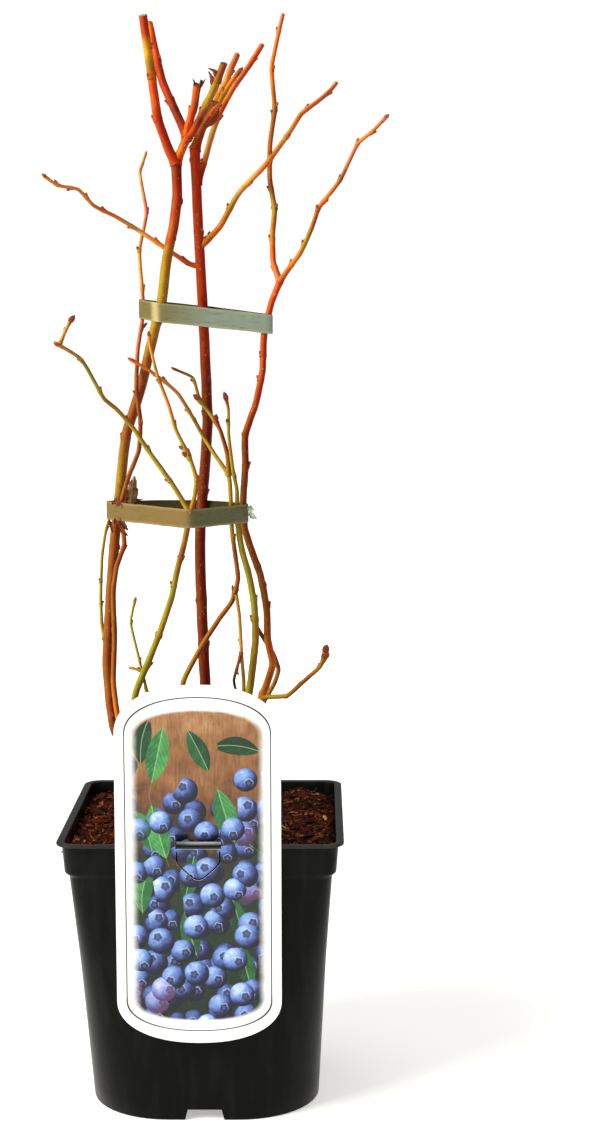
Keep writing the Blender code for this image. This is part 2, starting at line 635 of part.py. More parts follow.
def tube(name, points, radii, group):
    """Return a closed mesh tube along points in millimetres, with a radius at each point."""
    curve = bpy.data.curves.new(name, "CURVE")
    curve.dimensions = "3D"
    curve.bevel_depth = MM
    curve.bevel_resolution = 2 if max(radii) > ROUND_FROM_RADIUS else 1
    curve.use_fill_caps = True
    curve.render_resolution_u = 0
    spline = curve.splines.new("POLY")
    spline.points.add(len(points) - 1)
    for spot, point, radius in zip(spline.points, points, radii):
        spot.co = (*(point * MM), 1.0)
        spot.radius = radius
    thing = bpy.data.objects.new(name, curve)
    group.objects.link(thing)
    return baked(thing, group, weld=WELD)


def point_at(points, share):
    """Return the place and the direction at a share of a path's length."""
    lengths = [(after - before).length for before, after in zip(points, points[1:])]
    left = share * sum(lengths)
    for index, length in enumerate(lengths):
        if left <= length or index == len(lengths) - 1:
            direction = (points[index + 1] - points[index]).normalized()
            return points[index] + direction * min(left, length), direction
        left -= length


def build_bud(name, bud, points, radii, number, group):
    """Return a pointed bud that leans out of its limb, its root sunk in."""
    place, along = point_at(points, bud.share)
    turn = BUD_TURN * ((number * 2) % 3 - 1)
    out = Vector((bud.side * math.cos(turn), -math.sin(turn), 0.0))
    out = (out - along * out.dot(along)).normalized()
    aim = (along * math.cos(BUD_LEAN) + out * math.sin(BUD_LEAN)).normalized()
    radius = radii[min(int(bud.share * len(radii)), len(radii) - 1)]
    root = place + out * max(radius - BUD_SINK * bud.width, 0.0)
    bm = bmesh.new()
    bmesh.ops.create_uvsphere(bm, u_segments=BUD_SIDES, v_segments=BUD_RINGS, radius=0.5)
    for vertex in bm.verts:
        rise = vertex.co.z + 0.5
        swell = BUD_FOOT_SWELL - BUD_TIP_TAPER * rise
        vertex.co.x *= bud.width * swell
        vertex.co.y *= bud.width * swell
        vertex.co.z = (rise - BUD_ROOT) * bud.length
    spin = aim.to_track_quat("Z", "Y").to_matrix().to_4x4()
    for vertex in bm.verts:
        vertex.co = (spin @ vertex.co + root) * MM
    return bmesh_object(name, bm, group)


def limb_solid(limb, group, cutters):
    """Return a limb with its buds joined on, cut 0.3 mm clear of the limbs that carry it."""
    points, radii = limb_path(limb)
    solid = tube(limb.name, points, radii, group)
    if limb.buds:
        joined = bpy.data.collections.new(f"{limb.name}_buds")
        bpy.context.scene.collection.children.link(joined)
        for number, bud in enumerate(limb.buds):
            build_bud(f"{limb.name}_bud_{number}", bud, points, radii, number, joined)
        solid = combine(solid, joined, "UNION", group)
        bpy.data.collections.remove(joined)
    return cut_clear(solid, limb.carrier, group, cutters)


def cut_clear(solid, carriers, group, cutters):
    """Cut a limb back to 0.3 mm from the limbs that carry it, and keep its largest piece."""
    for carrier in carriers:
        points, radii = limb_path(ALL_LIMBS[carrier])
        wider = [radius + GAP / MM for radius in radii]
        cutter = tube(f"{carrier}_cutter", stretched(points), wider, cutters)
        solid = combine(solid, cutter, "DIFFERENCE", group)
    keep_largest(solid)
    return solid


def stretched(points):
    """Return a path whose last point lies a gap further on, so that a cutter clears the end too."""
    onward = (points[-1] - points[-2]).normalized() * (GAP / MM)
    return points[:-1] + [points[-1] + onward]


def finish_limb(solid, bark):
    """Give a limb its bark and round shading."""
    dress(solid, material(f"bark_{bark}", BARK_COLOURS[bark], BARK_ROUGHNESS))
    solid.data.shade_smooth()
    solid.data.set_sharp_from_angle(angle=SHARP_ANGLE)


def build_limbs(group, cutters):
    """Build every cane, bough and single twig, each as its own solid."""
    for limb in CANES + BOUGHS + TWIGS:
        finish_limb(limb_solid(limb, group, cutters), limb.bark)


def build_masses(group, cutters):
    """Build each twig mass: its shoots joined by one union."""
    for name, shoots in TWIG_MASSES.items():
        joined = bpy.data.collections.new(f"{name}_shoots")
        bpy.context.scene.collection.children.link(joined)
        base = limb_solid(shoots[0], group, cutters)
        for shoot in shoots[1:]:
            limb_solid(shoot, joined, cutters)
        solid = combine(base, joined, "UNION", group)
        bpy.data.collections.remove(joined)
        solid = cut_clear(solid, shoots[0].carrier, group, cutters)
        solid.name = name
        finish_limb(solid, shoots[0].bark)


# Ties
def crossings(limb, height, half_band):
    """Return where a limb crosses a band: the middle and the level radius of each section."""
    points, radii = limb_path(limb)
    sections = []
    for (low, high), radius in zip(zip(points, points[1:]), radii):
        stretch = high - low
        level_radius = radius * stretch.length / max(abs(stretch.z), 0.5 * stretch.length)
        for piece in range(TIE_SECTIONS + 1):
            spot = low.lerp(high, piece / TIE_SECTIONS)
            if abs(spot.z - height(spot.x, spot.y)) < half_band:
                sections.append((spot, level_radius))
    return sections


def hull(points):
    """Return the convex outline of flat points, counter-clockwise."""
    points = sorted(set(points))

    def chain(row):
        kept = []
        for point in row:
            while len(kept) > 1 and turns_right(kept[-2], kept[-1], point):
                kept.pop()
            kept.append(point)
        return kept[:-1]

    return chain(points) + chain(points[::-1])


def turns_right(first, second, third):
    """Return whether the way through three flat points doesn't turn left."""
    return ((second[0] - first[0]) * (third[1] - first[1])
            - (second[1] - first[1]) * (third[0] - first[0])) <= 0.0


def thinned(outline):
    """Return the outline without points that lie close to the one kept before them."""
    kept = [outline[0]]
    for point in outline[1:]:
        if math.dist(point, kept[-1]) > TIE_SHORTEST_SIDE:
            kept.append(point)
    if math.dist(kept[0], kept[-1]) < TIE_SHORTEST_SIDE:
        kept.pop()
    return kept


def build_tie(name, canes, middle, slope_x, slope_y, group):
    """Build a band that lies 0.3 mm clear round the canes it holds."""
    def height(x, y):
        return middle + slope_x * x + slope_y * y

    half = TIE_HEIGHT / 2.0
    around = []
    for cane in canes:
        for spot, radius in crossings(ALL_LIMBS[cane], height, half + TIE_MARGIN):
            for step in range(TIE_CIRCLE_STEPS):
                angle = math.tau * step / TIE_CIRCLE_STEPS
                reach = (radius + GAP / MM) / math.cos(math.pi / TIE_CIRCLE_STEPS)
                around.append((spot.x + reach * math.cos(angle), spot.y + reach * math.sin(angle)))
    outline = thinned(hull(around))
    bm = bmesh.new()
    rows = []
    for side in (-half, half):
        rows.append([bm.verts.new(Vector((x, y, height(x, y) + side)) * MM) for x, y in outline])
    for index in range(len(outline)):
        after = (index + 1) % len(outline)
        bm.faces.new((rows[0][index], rows[0][after], rows[1][after], rows[1][index]))
    mesh = bpy.data.meshes.new(name)
    bm.to_mesh(mesh)
    bm.free()
    band = mesh_object(name, mesh, group, material("tie_plastic", (0.22, 0.23, 0.13), 0.35))
    wall = band.modifiers.new("wall", "SOLIDIFY")
    wall.thickness = TIE_THICKNESS * MM
    wall.offset = 1.0
    wall.use_even_offset = True


ALL_LIMBS = {limb.name: limb for limb in CANES + BOUGHS + TWIGS}
for mass in TWIG_MASSES.values():
    ALL_LIMBS.update({shoot.name: shoot for shoot in mass})


def main():
    """Build the whole plant in its pot."""
    clear_scene()
    group = collection(OBJECT_NAME)
    cutters = collection("cutters", hidden=True)
    build_pot(group, cutters)
    build_soil(group)
    build_label(group, cutters)
    build_limbs(group, cutters)
    build_masses(group, cutters)
    for name, (canes, middle, slope_x, slope_y) in TIES.items():
        build_tie(name, canes, middle, slope_x, slope_y, group)


main()
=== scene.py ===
"""Looks of a bare blueberry bush in a square nursery pot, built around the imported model.

Units are metres. +Z is up, and the front, with the label, faces -Y. The sizes and tables below are in
millimetres, and every mesh is scaled to metres as it is made.
"""

import logging
import math
import random
from collections.abc import Callable, Iterable
from dataclasses import dataclass, field
from enum import Enum
from typing import Any, Union

import bmesh
import bpy
import numpy as np
from mathutils import Matrix, Vector, noise


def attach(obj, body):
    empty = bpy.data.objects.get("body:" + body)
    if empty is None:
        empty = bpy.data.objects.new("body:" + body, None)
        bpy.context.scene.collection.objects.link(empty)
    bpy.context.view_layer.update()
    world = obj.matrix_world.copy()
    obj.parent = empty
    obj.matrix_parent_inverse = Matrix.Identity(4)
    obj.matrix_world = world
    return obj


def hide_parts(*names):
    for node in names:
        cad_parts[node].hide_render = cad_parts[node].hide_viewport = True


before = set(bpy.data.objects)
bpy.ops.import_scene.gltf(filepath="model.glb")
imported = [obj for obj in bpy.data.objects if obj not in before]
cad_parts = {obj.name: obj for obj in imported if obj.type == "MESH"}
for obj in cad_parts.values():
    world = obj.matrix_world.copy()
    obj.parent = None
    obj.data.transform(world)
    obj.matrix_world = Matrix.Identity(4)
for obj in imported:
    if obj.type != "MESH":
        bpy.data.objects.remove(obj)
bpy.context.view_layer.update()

LOG = logging.getLogger("blueberry_bush")
MM = 0.001
BODY = "root"

Colour = tuple[float, float, float]
Spot = tuple[float, float, float]
Stops = tuple[tuple[float, Colour], ...]
Scalar = Union["Value", float]


def operator(kind: str, swapped: bool = False) -> Callable[..., "Value"]:
    """Return a method that adds one Math node.

    Args:
        kind: The node's operation.
        swapped: Whether its two numbers are swapped.

    Returns:
        The method.
    """
    def method(value: "Value", other: Scalar = 0) -> "Value":
        """Return the node's result."""
        return value.graph.maths(kind, other, value) if swapped else value.graph.maths(kind, value, other)
    return method


class Value:
    """A node's output that works in Python arithmetic: each operator adds one Math node."""

    __add__ = __radd__ = operator("ADD")
    __sub__ = operator("SUBTRACT")
    __rsub__ = operator("SUBTRACT", True)
    __mul__ = __rmul__ = operator("MULTIPLY")
    __truediv__ = operator("DIVIDE")
    __pow__ = operator("POWER")
    __abs__ = operator("ABSOLUTE")

    def __init__(self, graph: "Graph", socket: bpy.types.NodeSocket) -> None:
        """Wrap an output socket of a graph."""
        self.graph, self.socket = graph, socket

    def apply(self, operation: str, other: Scalar = 0) -> "Value":
        """Return the result of another Math operation."""
        return self.graph.maths(operation, self, other)

    def step(self, low: Scalar, high: Scalar) -> "Value":
        """Return a soft step from 0 at low to 1 at high, which may lie below low."""
        inputs = {"Value": self, "From Min": low, "From Max": high, "To Min": 0, "To Max": 1}
        return self.graph.node("ShaderNodeMapRange", {"interpolation_type": "SMOOTHSTEP"}, inputs)


class Graph:
    """A node tree that is being written."""

    def __init__(self, tree: bpy.types.NodeTree) -> None:
        """Start an empty tree."""
        self.tree = tree
        tree.nodes.clear()

    def node(self, kind: str, settings: dict[str, Any] | None = None,
             inputs: dict[str | int, Any] | None = None, output: str | int = 0) -> Value:
        """Add a node.

        Args:
            kind: The node's type.
            settings: Its settings, set before its sockets.
            inputs: Values or links by socket name or number.
            output: The name or number of the socket to return.

        Returns:
            That output, or an empty value for a node that has none.
        """
        made = self.tree.nodes.new(kind)
        for name, value in (settings or {}).items():
            setattr(made, name, value)
        for name, value in (inputs or {}).items():
            self.feed(self.socket(made.inputs, name), value)
        return Value(self, self.socket(made.outputs, output) if made.outputs else None)

    @staticmethod
    def socket(sockets: bpy.types.bpy_prop_collection, name: str | int) -> bpy.types.NodeSocket:
        """Return the socket in use that has a number or a name."""
        return sockets[name] if isinstance(name, int) else next(s for s in sockets if s.name == name and s.enabled)

    def feed(self, socket: bpy.types.NodeSocket, value: Any) -> None:
        """Set a socket's value, or link an output to it.

        Args:
            socket: The socket to feed.
            value: A Value, a number, a colour, a vector, a text or a material.
        """
        if isinstance(value, Value):
            self.tree.links.new(value.socket, socket)
        elif socket.type == "RGBA" and len(value) == 3:
            socket.default_value = (*value, 1)
        else:
            socket.default_value = value

    def maths(self, operation: str, first: Scalar, second: Scalar = 0) -> Value:
        """Return the result of a Math node."""
        return self.node("ShaderNodeMath", {"operation": operation}, {0: first, 1: second})

    def vector(self, operation: str, first: Any, second: Any = (0, 0, 0), output: int = 0) -> Value:
        """Return the result of a Vector Math node."""
        return self.node("ShaderNodeVectorMath", {"operation": operation}, {0: first, 1: second}, output)

    def scaled(self, vector: Value, factor: Scalar) -> Value:
        """Return a vector times a number."""
        return self.node("ShaderNodeVectorMath", {"operation": "SCALE"}, {0: vector, "Scale": factor})

    def ramp(self, factor: Value, *stops: tuple[float, Colour]) -> Value:
        """Return the colour of a ramp.

        Args:
            factor: The place on the ramp, from 0 to 1.
            *stops: Places with their colours, in rising order.

        Returns:
            The colour.
        """
        made = self.node("ShaderNodeValToRGB", None, {0: factor})
        elements = made.socket.node.color_ramp.elements
        while len(elements) < len(stops):
            elements.new(1)
        for element, (position, colour) in zip(elements, stops):
            element.position, element.color = position, (*colour, 1)
        return made

    def mix(self, first: Any, second: Any, factor: Scalar, blend: str = "MIX") -> Value:
        """Return the first colour with as much of the second as the factor says, blended in the named way."""
        settings = {"data_type": "RGBA", "blend_type": blend, "clamp_result": True}
        return self.node("ShaderNodeMix", settings, {0: factor, 6: first, 7: second}, 2)

    def noise(self, vector: Value, scale: float, detail: float = 3.0, roughness: float = 0.55) -> Value:
        """Return fractal noise around 0.5."""
        inputs = {"Vector": vector, "Scale": scale, "Detail": detail, "Roughness": roughness}
        return self.node("ShaderNodeTexNoise", None, inputs)

    def mark(self, name: str, output: str = "Fac") -> Value:
        """Return a named attribute of the piece."""
        return self.node("ShaderNodeAttribute", {"attribute_name": name}, None, output)

    def place(self) -> Value:
        """Return the place on the piece in metres."""
        return self.node("ShaderNodeTexCoord", None, None, "Object")

    def split(self, vector: Value) -> tuple[Value, Value, Value]:
        """Return the parts of a vector."""
        parts = self.node("ShaderNodeSeparateXYZ", None, {0: vector}).socket.node.outputs
        return tuple(Value(self, part) for part in parts)

    def joined(self, x: Scalar, y: Scalar, z: Scalar = 0) -> Value:
        """Return a vector made of three numbers."""
        return self.node("ShaderNodeCombineXYZ", None, {0: x, 1: y, 2: z})

    def bump(self, height: Value, depth: float, strength: float = 1.0, under: Value | None = None) -> Value:
        """Return a normal bent by a relief so many metres deep, over one that may be bent already."""
        inputs = {"Height": height, "Distance": depth, "Strength": strength}
        return self.node("ShaderNodeBump", None, inputs | ({"Normal": under} if under else {}))

    def surface(self, colour: Value, roughness: Scalar, shine: float, normal: Value | None = None,
                glow: Value | None = None) -> None:
        """End a material's graph in a Principled shader.

        Args:
            colour: The base colour.
            roughness: The roughness.
            shine: The level of the reflections.
            normal: A bent normal.
            glow: The colour of its own light.
        """
        inputs = {"Base Color": colour, "Roughness": roughness, "Specular IOR Level": shine}
        inputs |= {"Normal": normal} if normal else {}
        inputs |= {"Emission Color": glow, "Emission Strength": 1} if glow else {}
        shader = self.node("ShaderNodeBsdfPrincipled", None, inputs)
        self.node("ShaderNodeOutputMaterial", None, {"Surface": shader})


def linked(name: str, mesh: bpy.types.Mesh, finishes: Iterable[bpy.types.Material] = ()) -> bpy.types.Object:
    """Return a new object in the scene.

    Args:
        name: Its name.
        mesh: Its mesh.
        finishes: Its materials.

    Returns:
        The object.
    """
    mesh.name = name
    mesh.materials.clear()
    for finish in finishes:
        mesh.materials.append(finish)
    made = bpy.data.objects.new(name, mesh)
    bpy.context.scene.collection.objects.link(made)
    return made


def settled(source: bpy.types.Object, name: str, finishes: Iterable[bpy.types.Material]) -> bpy.types.Object:
    """Return a plain object with the mesh that another's modifier leaves.

    Args:
        source: The other object, which is removed.
        name: The new one's name.
        finishes: Its materials.

    Returns:
        The object.
    """
    graph = bpy.context.evaluated_depsgraph_get()
    graph.update()
    mesh = bpy.data.meshes.new_from_object(source.evaluated_get(graph))
    bpy.data.objects.remove(source, do_unlink=True)
    return linked(name, mesh, finishes)


def carve(base: bpy.types.Object, tool: bpy.types.Object, operation: str = "DIFFERENCE") -> bpy.types.Object:
    """Apply one Boolean to a piece.

    Args:
        base: The piece, which is replaced.
        tool: The other solid, which is removed.
        operation: The Boolean's operation.

    Returns:
        The new piece, with the same name and materials.
    """
    cut = base.modifiers.new("carve", "BOOLEAN")
    cut.operation, cut.solver, cut.object = operation, "EXACT", tool
    made = settled(base, base.name, list(base.data.materials))
    bpy.data.objects.remove(tool, do_unlink=True)
    return made


def store(mesh: bpy.types.Mesh, name: str, values: Any, kind: str = "FLOAT") -> None:
    """Store a number, or a vector, under a name for each point of a mesh."""
    key = "vector" if kind == "FLOAT_VECTOR" else "value"
    mesh.attributes.new(name, kind, "POINT").data.foreach_set(key, values)


def finished(thing: bpy.types.Object, angle: float, slot: str, *nodes: str) -> None:
    """Shade a finished piece, put it on the body and report it.

    Args:
        thing: The piece.
        angle: The angle in degrees past which its edges stay sharp.
        slot: The record's slot, which is not used.
        *nodes: The solids that it stands for.
    """
    thing.data.shade_smooth()
    thing.data.set_sharp_from_angle(angle=math.radians(angle))
    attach(thing, BODY)
    if nodes:
        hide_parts(*nodes)
    thing.data.calc_loop_triangles()
    LOG.info("%s: %d triangles, stands for %s", thing.name, len(thing.data.loop_triangles), list(nodes) or "nothing")


class Recipe(Graph):
    """A Geometry Nodes tree with named inputs, which is applied once and leaves a plain mesh."""

    def __init__(self, name: str) -> None:
        """Start a tree that takes and gives one geometry.

        Args:
            name: Its name.
        """
        super().__init__(bpy.data.node_groups.new(name, "GeometryNodeTree"))
        for way in ("INPUT", "OUTPUT"):
            self.tree.interface.new_socket("Geometry", in_out=way, socket_type="NodeSocketGeometry")
        self.entry = self.tree.nodes.new("NodeGroupInput")
        self.geometry = Value(self, self.entry.outputs[0])
        self.settings: dict[str, Any] = {}

    def size(self, name: str, value: float | int) -> Value:
        """Add a named input.

        Args:
            name: The input's name.
            value: Its value, a float or an int.

        Returns:
            The input as a socket of the tree.
        """
        kind = "NodeSocketInt" if isinstance(value, int) else "NodeSocketFloat"
        socket = self.tree.interface.new_socket(name, in_out="INPUT", socket_type=kind)
        self.settings[socket.identifier] = value
        return Value(self, self.entry.outputs[name])

    def chance(self, low: Scalar, high: Scalar, seed: Value, shift: int) -> Value:
        """Return a random number from low to high for each point; the shift makes each draw differ."""
        inputs = {2: low, 3: high, "Seed": seed + float(shift)}
        return self.node("FunctionNodeRandomValue", {"data_type": "FLOAT"}, inputs, 1)

    def named(self, name: str) -> Value:
        """Return a vector that each point holds under a name."""
        return self.node("GeometryNodeInputNamedAttribute", {"data_type": "FLOAT_VECTOR"}, {"Name": name}, "Attribute")

    def moved(self, geometry: Value, **places: Value) -> Value:
        """Return the geometry with its points at a new Position or moved by an Offset."""
        return self.node("GeometryNodeSetPosition", None, {"Geometry": geometry, **places})

    def copies(self, points: Value, instance: Value, turn: Value, scale: Value) -> Value:
        """Return a copy of an instance on each point, turned by Euler angles and scaled."""
        turn = self.node("FunctionNodeEulerToRotation", None, {0: turn})
        inputs = {"Points": points, "Instance": instance, "Rotation": turn, "Scale": scale}
        return self.node("GeometryNodeInstanceOnPoints", None, inputs)

    def stored(self, geometry: Value, name: str, value: Value, domain: str = "INSTANCE") -> Value:
        """Return the geometry with a number stored under a name."""
        inputs = {"Geometry": geometry, "Name": name, "Value": value}
        return self.node("GeometryNodeStoreNamedAttribute", {"data_type": "FLOAT", "domain": domain}, inputs)

    def applied(self, name: str, source: bpy.types.Object, geometry: Value,
                finish: bpy.types.Material) -> bpy.types.Object:
        """Finish the tree, run it on an object and return a plain mesh object.

        Args:
            name: The new object's name.
            source: The object that the tree starts from, which is removed.
            geometry: What the tree has made.
            finish: The material.

        Returns:
            The new object, without a modifier.
        """
        plain = self.node("GeometryNodeRealizeInstances", None, {0: geometry})
        dressed = self.node("GeometryNodeSetMaterial", None, {"Geometry": plain, "Material": finish})
        self.node("NodeGroupOutput", None, {0: dressed})
        modifier = source.modifiers.new("recipe", "NODES")
        modifier.node_group = self.tree
        for identifier, value in self.settings.items():
            modifier[identifier] = value
        return settled(source, name, [finish])


@dataclass(frozen=True)
class Finish:
    """A procedural material. Each kind of finish paints its graph in its own way."""

    name: str

    def make(self) -> bpy.types.Material:
        """Return the material with its graph painted."""
        made = bpy.data.materials.new(self.name)
        made.use_nodes = True
        self.paint(Graph(made.node_tree))
        return made

    def paint(self, graph: Graph) -> None:
        """Paint the graph."""
        raise NotImplementedError


class Hue(Enum):
    """Base colours of living bark, linear."""

    DEEP_RED = (0.15, 0.01, 0.003)
    RED = (0.36, 0.024, 0.004)
    ORANGE_RED = (0.54, 0.058, 0.005)
    ORANGE = (0.6, 0.15, 0.01)
    YELLOW = (0.58, 0.36, 0.02)
    OLIVE = (0.29, 0.21, 0.012)
    GREEN = (0.24, 0.26, 0.02)
    TAN = (0.62, 0.34, 0.08)
    BROWN = (0.23, 0.062, 0.01)
    DARK = (0.04, 0.015, 0.01)
    PINK = (0.5, 0.13, 0.065)


@dataclass(frozen=True)
class BarkFinish(Finish):
    """Thin bark: its hue changes along the limb, and it has pale streaks, pores, dark scars and painted light and
    shade.
    """

    hues: tuple[Hue, ...]
    # Painted light and shade: glow and the first colour below tint the lit side, the second darkens the other.
    glow: float
    painted_light_colour: Colour = (0.78, 0.42, 0.03)
    shade: Colour = (0.56, 0.24, 0.15)
    pore_colour: Colour = (0.55, 0.36, 0.13)
    streak_colour: Colour = (0.5, 0.32, 0.11)
    scar_colour: Colour = (0.06, 0.016, 0.006)

    def paint(self, graph: Graph) -> None:
        """Paint the bark, which reads the attributes along, scar and grain, and one for how much each point faces the
        painted light.

        Args:
            graph: The material's graph.
        """
        grain = graph.mark("grain", "Vector")
        blotch = graph.noise(grain, 110)
        streak = graph.noise(graph.vector("MULTIPLY", grain, (1, 1, 0.1)), 1500, 4, 0.6)
        last = max(len(self.hues) - 1, 1)
        stops = [(index / last, hue.value) for index, hue in enumerate(self.hues)]
        colour = graph.ramp(graph.mark("along") + (blotch - 0.5) * 0.16, *stops)
        # Painted light and shade: a lighter, yellower copy of the hue on the lit side, a darker one on the other.
        painted_lit_share = (graph.mark("sun") + (blotch - 0.5) * 0.9).step(0, 0.95)
        painted_lit_colour = graph.mix(colour, self.painted_light_colour, 0.32 * self.glow)
        colour = graph.mix(graph.mix(colour, self.shade, 0.85, "MULTIPLY"), painted_lit_colour, painted_lit_share)
        colour = graph.mix(colour, self.streak_colour, streak.step(0.56, 0.74) * 0.16)
        colour = graph.mix(colour, (0.3, 0.16, 0.12), streak.step(0.44, 0.3) * 0.35, "MULTIPLY")
        cells = graph.vector("MULTIPLY", grain, (1, 1, 0.45))
        pores = graph.node("ShaderNodeTexVoronoi", {"feature": "F1"}, {"Vector": cells, "Scale": 520}, "Distance")
        pore = pores.step(0.2, 0.1) * blotch.step(0.42, 0.56)
        colour = graph.mix(colour, self.pore_colour, pore * 0.3)
        colour = graph.mix(colour, self.scar_colour, graph.mark("scar").step(0.2, 1) * 0.75)
        normal = graph.bump(streak * 0.6 + pore * 0.5 + blotch * 0.4, 0.00016, 0.8)
        graph.surface(colour, streak * 0.3 + 0.28, 0.06, normal)


@dataclass(frozen=True)
class CutWood(Finish):
    """A weathered pruning cut: dark cambium, pale wood and a browner pith."""

    name: str = "cut_wood"

    def paint(self, graph: Graph) -> None:
        """Paint the cut, which reads the radius from the attribute along.

        Args:
            graph: The material's graph.
        """
        rough = graph.noise(graph.mark("grain", "Vector"), 1800)
        colour = graph.ramp(graph.mark("along") + (rough - 0.5) * 0.12,
                            (0, (0.14, 0.07, 0.03)), (0.18, (0.24, 0.14, 0.06)), (0.3, (0.42, 0.27, 0.13)),
                            (0.78, (0.36, 0.22, 0.1)), (0.93, (0.16, 0.07, 0.03)), (1, (0.08, 0.02, 0.012)))
        colour = graph.mix(colour, (0.35, 0.3, 0.25), rough.step(0.5, 0.72) * 0.6, "MULTIPLY")
        graph.surface(colour, 0.8, 0.2, graph.bump(rough, 0.00025))


@dataclass(frozen=True)
class BudFinish(Finish):
    """Bud scales: red-brown with pale rims and a darker tip."""

    name: str = "bud_scales"

    def paint(self, graph: Graph) -> None:
        """Paint the scales, which read the attributes tint, rise and rim.

        Args:
            graph: The material's graph.
        """
        speck = graph.noise(graph.place(), 1500)
        colour = graph.ramp(graph.mark("tint") + (speck - 0.5) * 0.3,
                            (0, (0.1, 0.015, 0.006)), (0.3, (0.19, 0.035, 0.01)), (0.6, (0.32, 0.082, 0.02)),
                            (0.8, (0.34, 0.15, 0.03)), (1, (0.42, 0.12, 0.055)))
        colour = graph.mix(colour, (0.58, 0.32, 0.12), graph.mark("rim").step(0.62, 0.98) * 0.25)
        colour = graph.mix(colour, (0.13, 0.022, 0.01), graph.mark("rise").step(0.75, 1) * 0.5)
        graph.surface(colour, 0.42, 0.08, graph.bump(speck, 0.00008))


@dataclass(frozen=True)
class BlackPlastic(Finish):
    """Nursery-pot plastic: black, satin, with handling marks, dust, and a rim paled by dust and a painted highlight.
    """

    name: str = "black_plastic_fine"
    shine: float = 0.06
    colour: Colour = (0.003, 0.0032, 0.0024)
    dust_and_highlight: Colour = (0.075, 0.062, 0.045)

    def paint(self, graph: Graph) -> None:
        """Paint the plastic.

        Args:
            graph: The material's graph.
        """
        place = graph.place()
        cloud = graph.noise(place, 35, 4)
        fleck = graph.noise(place, 900, 3, 0.7)
        flow = graph.noise(graph.vector("MULTIPLY", place, (1, 1, 0.12)), 160)
        # Dust flecks all over; towards the rim more flecks and a pale tint, partly dust and partly a painted
        # highlight.
        near_rim = graph.split(place)[2].step(0.149, 0.1528)
        dust_and_highlight_share = fleck.step(0.56, 0.74) * (0.06 + 0.4 * near_rim) * cloud.step(0.35, 0.65)
        colour = graph.mix(self.colour, self.dust_and_highlight, dust_and_highlight_share + near_rim * 0.04)
        colour = graph.mix(colour, (0.009, 0.01, 0.008), flow.step(0.45, 0.7) * 0.5)
        normal = graph.bump(graph.noise(place, 420, 2), 0.00012, 0.5)
        normal = graph.bump(fleck, 0.00003, 0.5, normal)
        graph.surface(colour, 0.2 + 0.22 * cloud + dust_and_highlight_share * 0.4, self.shine, normal)


@dataclass(frozen=True)
class PottingMix(Finish):
    """Moist bark-and-peat mix: dark red-brown, with lighter grains."""

    name: str = "potting_mix_fine"

    def paint(self, graph: Graph) -> None:
        """Paint the mix.

        Args:
            graph: The material's graph.
        """
        lump = graph.noise(graph.place(), 140, 5, 0.65)
        grain = graph.noise(graph.place(), 900, 4, 0.7)
        colour = graph.ramp(lump * 0.45 + grain * 0.55,
                            (0, (0.007, 0.002, 0.001)), (0.4, (0.018, 0.003, 0.0015)),
                            (0.55, (0.045, 0.008, 0.003)), (0.7, (0.085, 0.018, 0.006)), (0.85, (0.15, 0.04, 0.013)))
        normal = graph.bump(grain * 0.6 + lump, 0.0008, 0.9)
        graph.surface(colour, 0.7 - 0.3 * grain, 0.05, normal)


@dataclass(frozen=True)
class LitterFinish(Finish):
    """Chips, crumbs and fibres: each takes its colour from its own tint."""

    stops: Stops
    roughness: float = 0.7

    def paint(self, graph: Graph) -> None:
        """Paint the litter, which reads the attribute tint.

        Args:
            graph: The material's graph.
        """
        fleck = graph.noise(graph.vector("MULTIPLY", graph.place(), (1, 0.35, 1)), 1600, 3, 0.65)
        colour = graph.ramp(graph.mark("tint") + (fleck - 0.5) * 0.22, *self.stops)
        colour = graph.mix(colour, (0.3, 0.22, 0.18), fleck.step(0.5, 0.3) * 0.8, "MULTIPLY")
        graph.surface(colour, self.roughness - 0.2 * fleck, 0.05, graph.bump(fleck, 0.0003, 0.8))


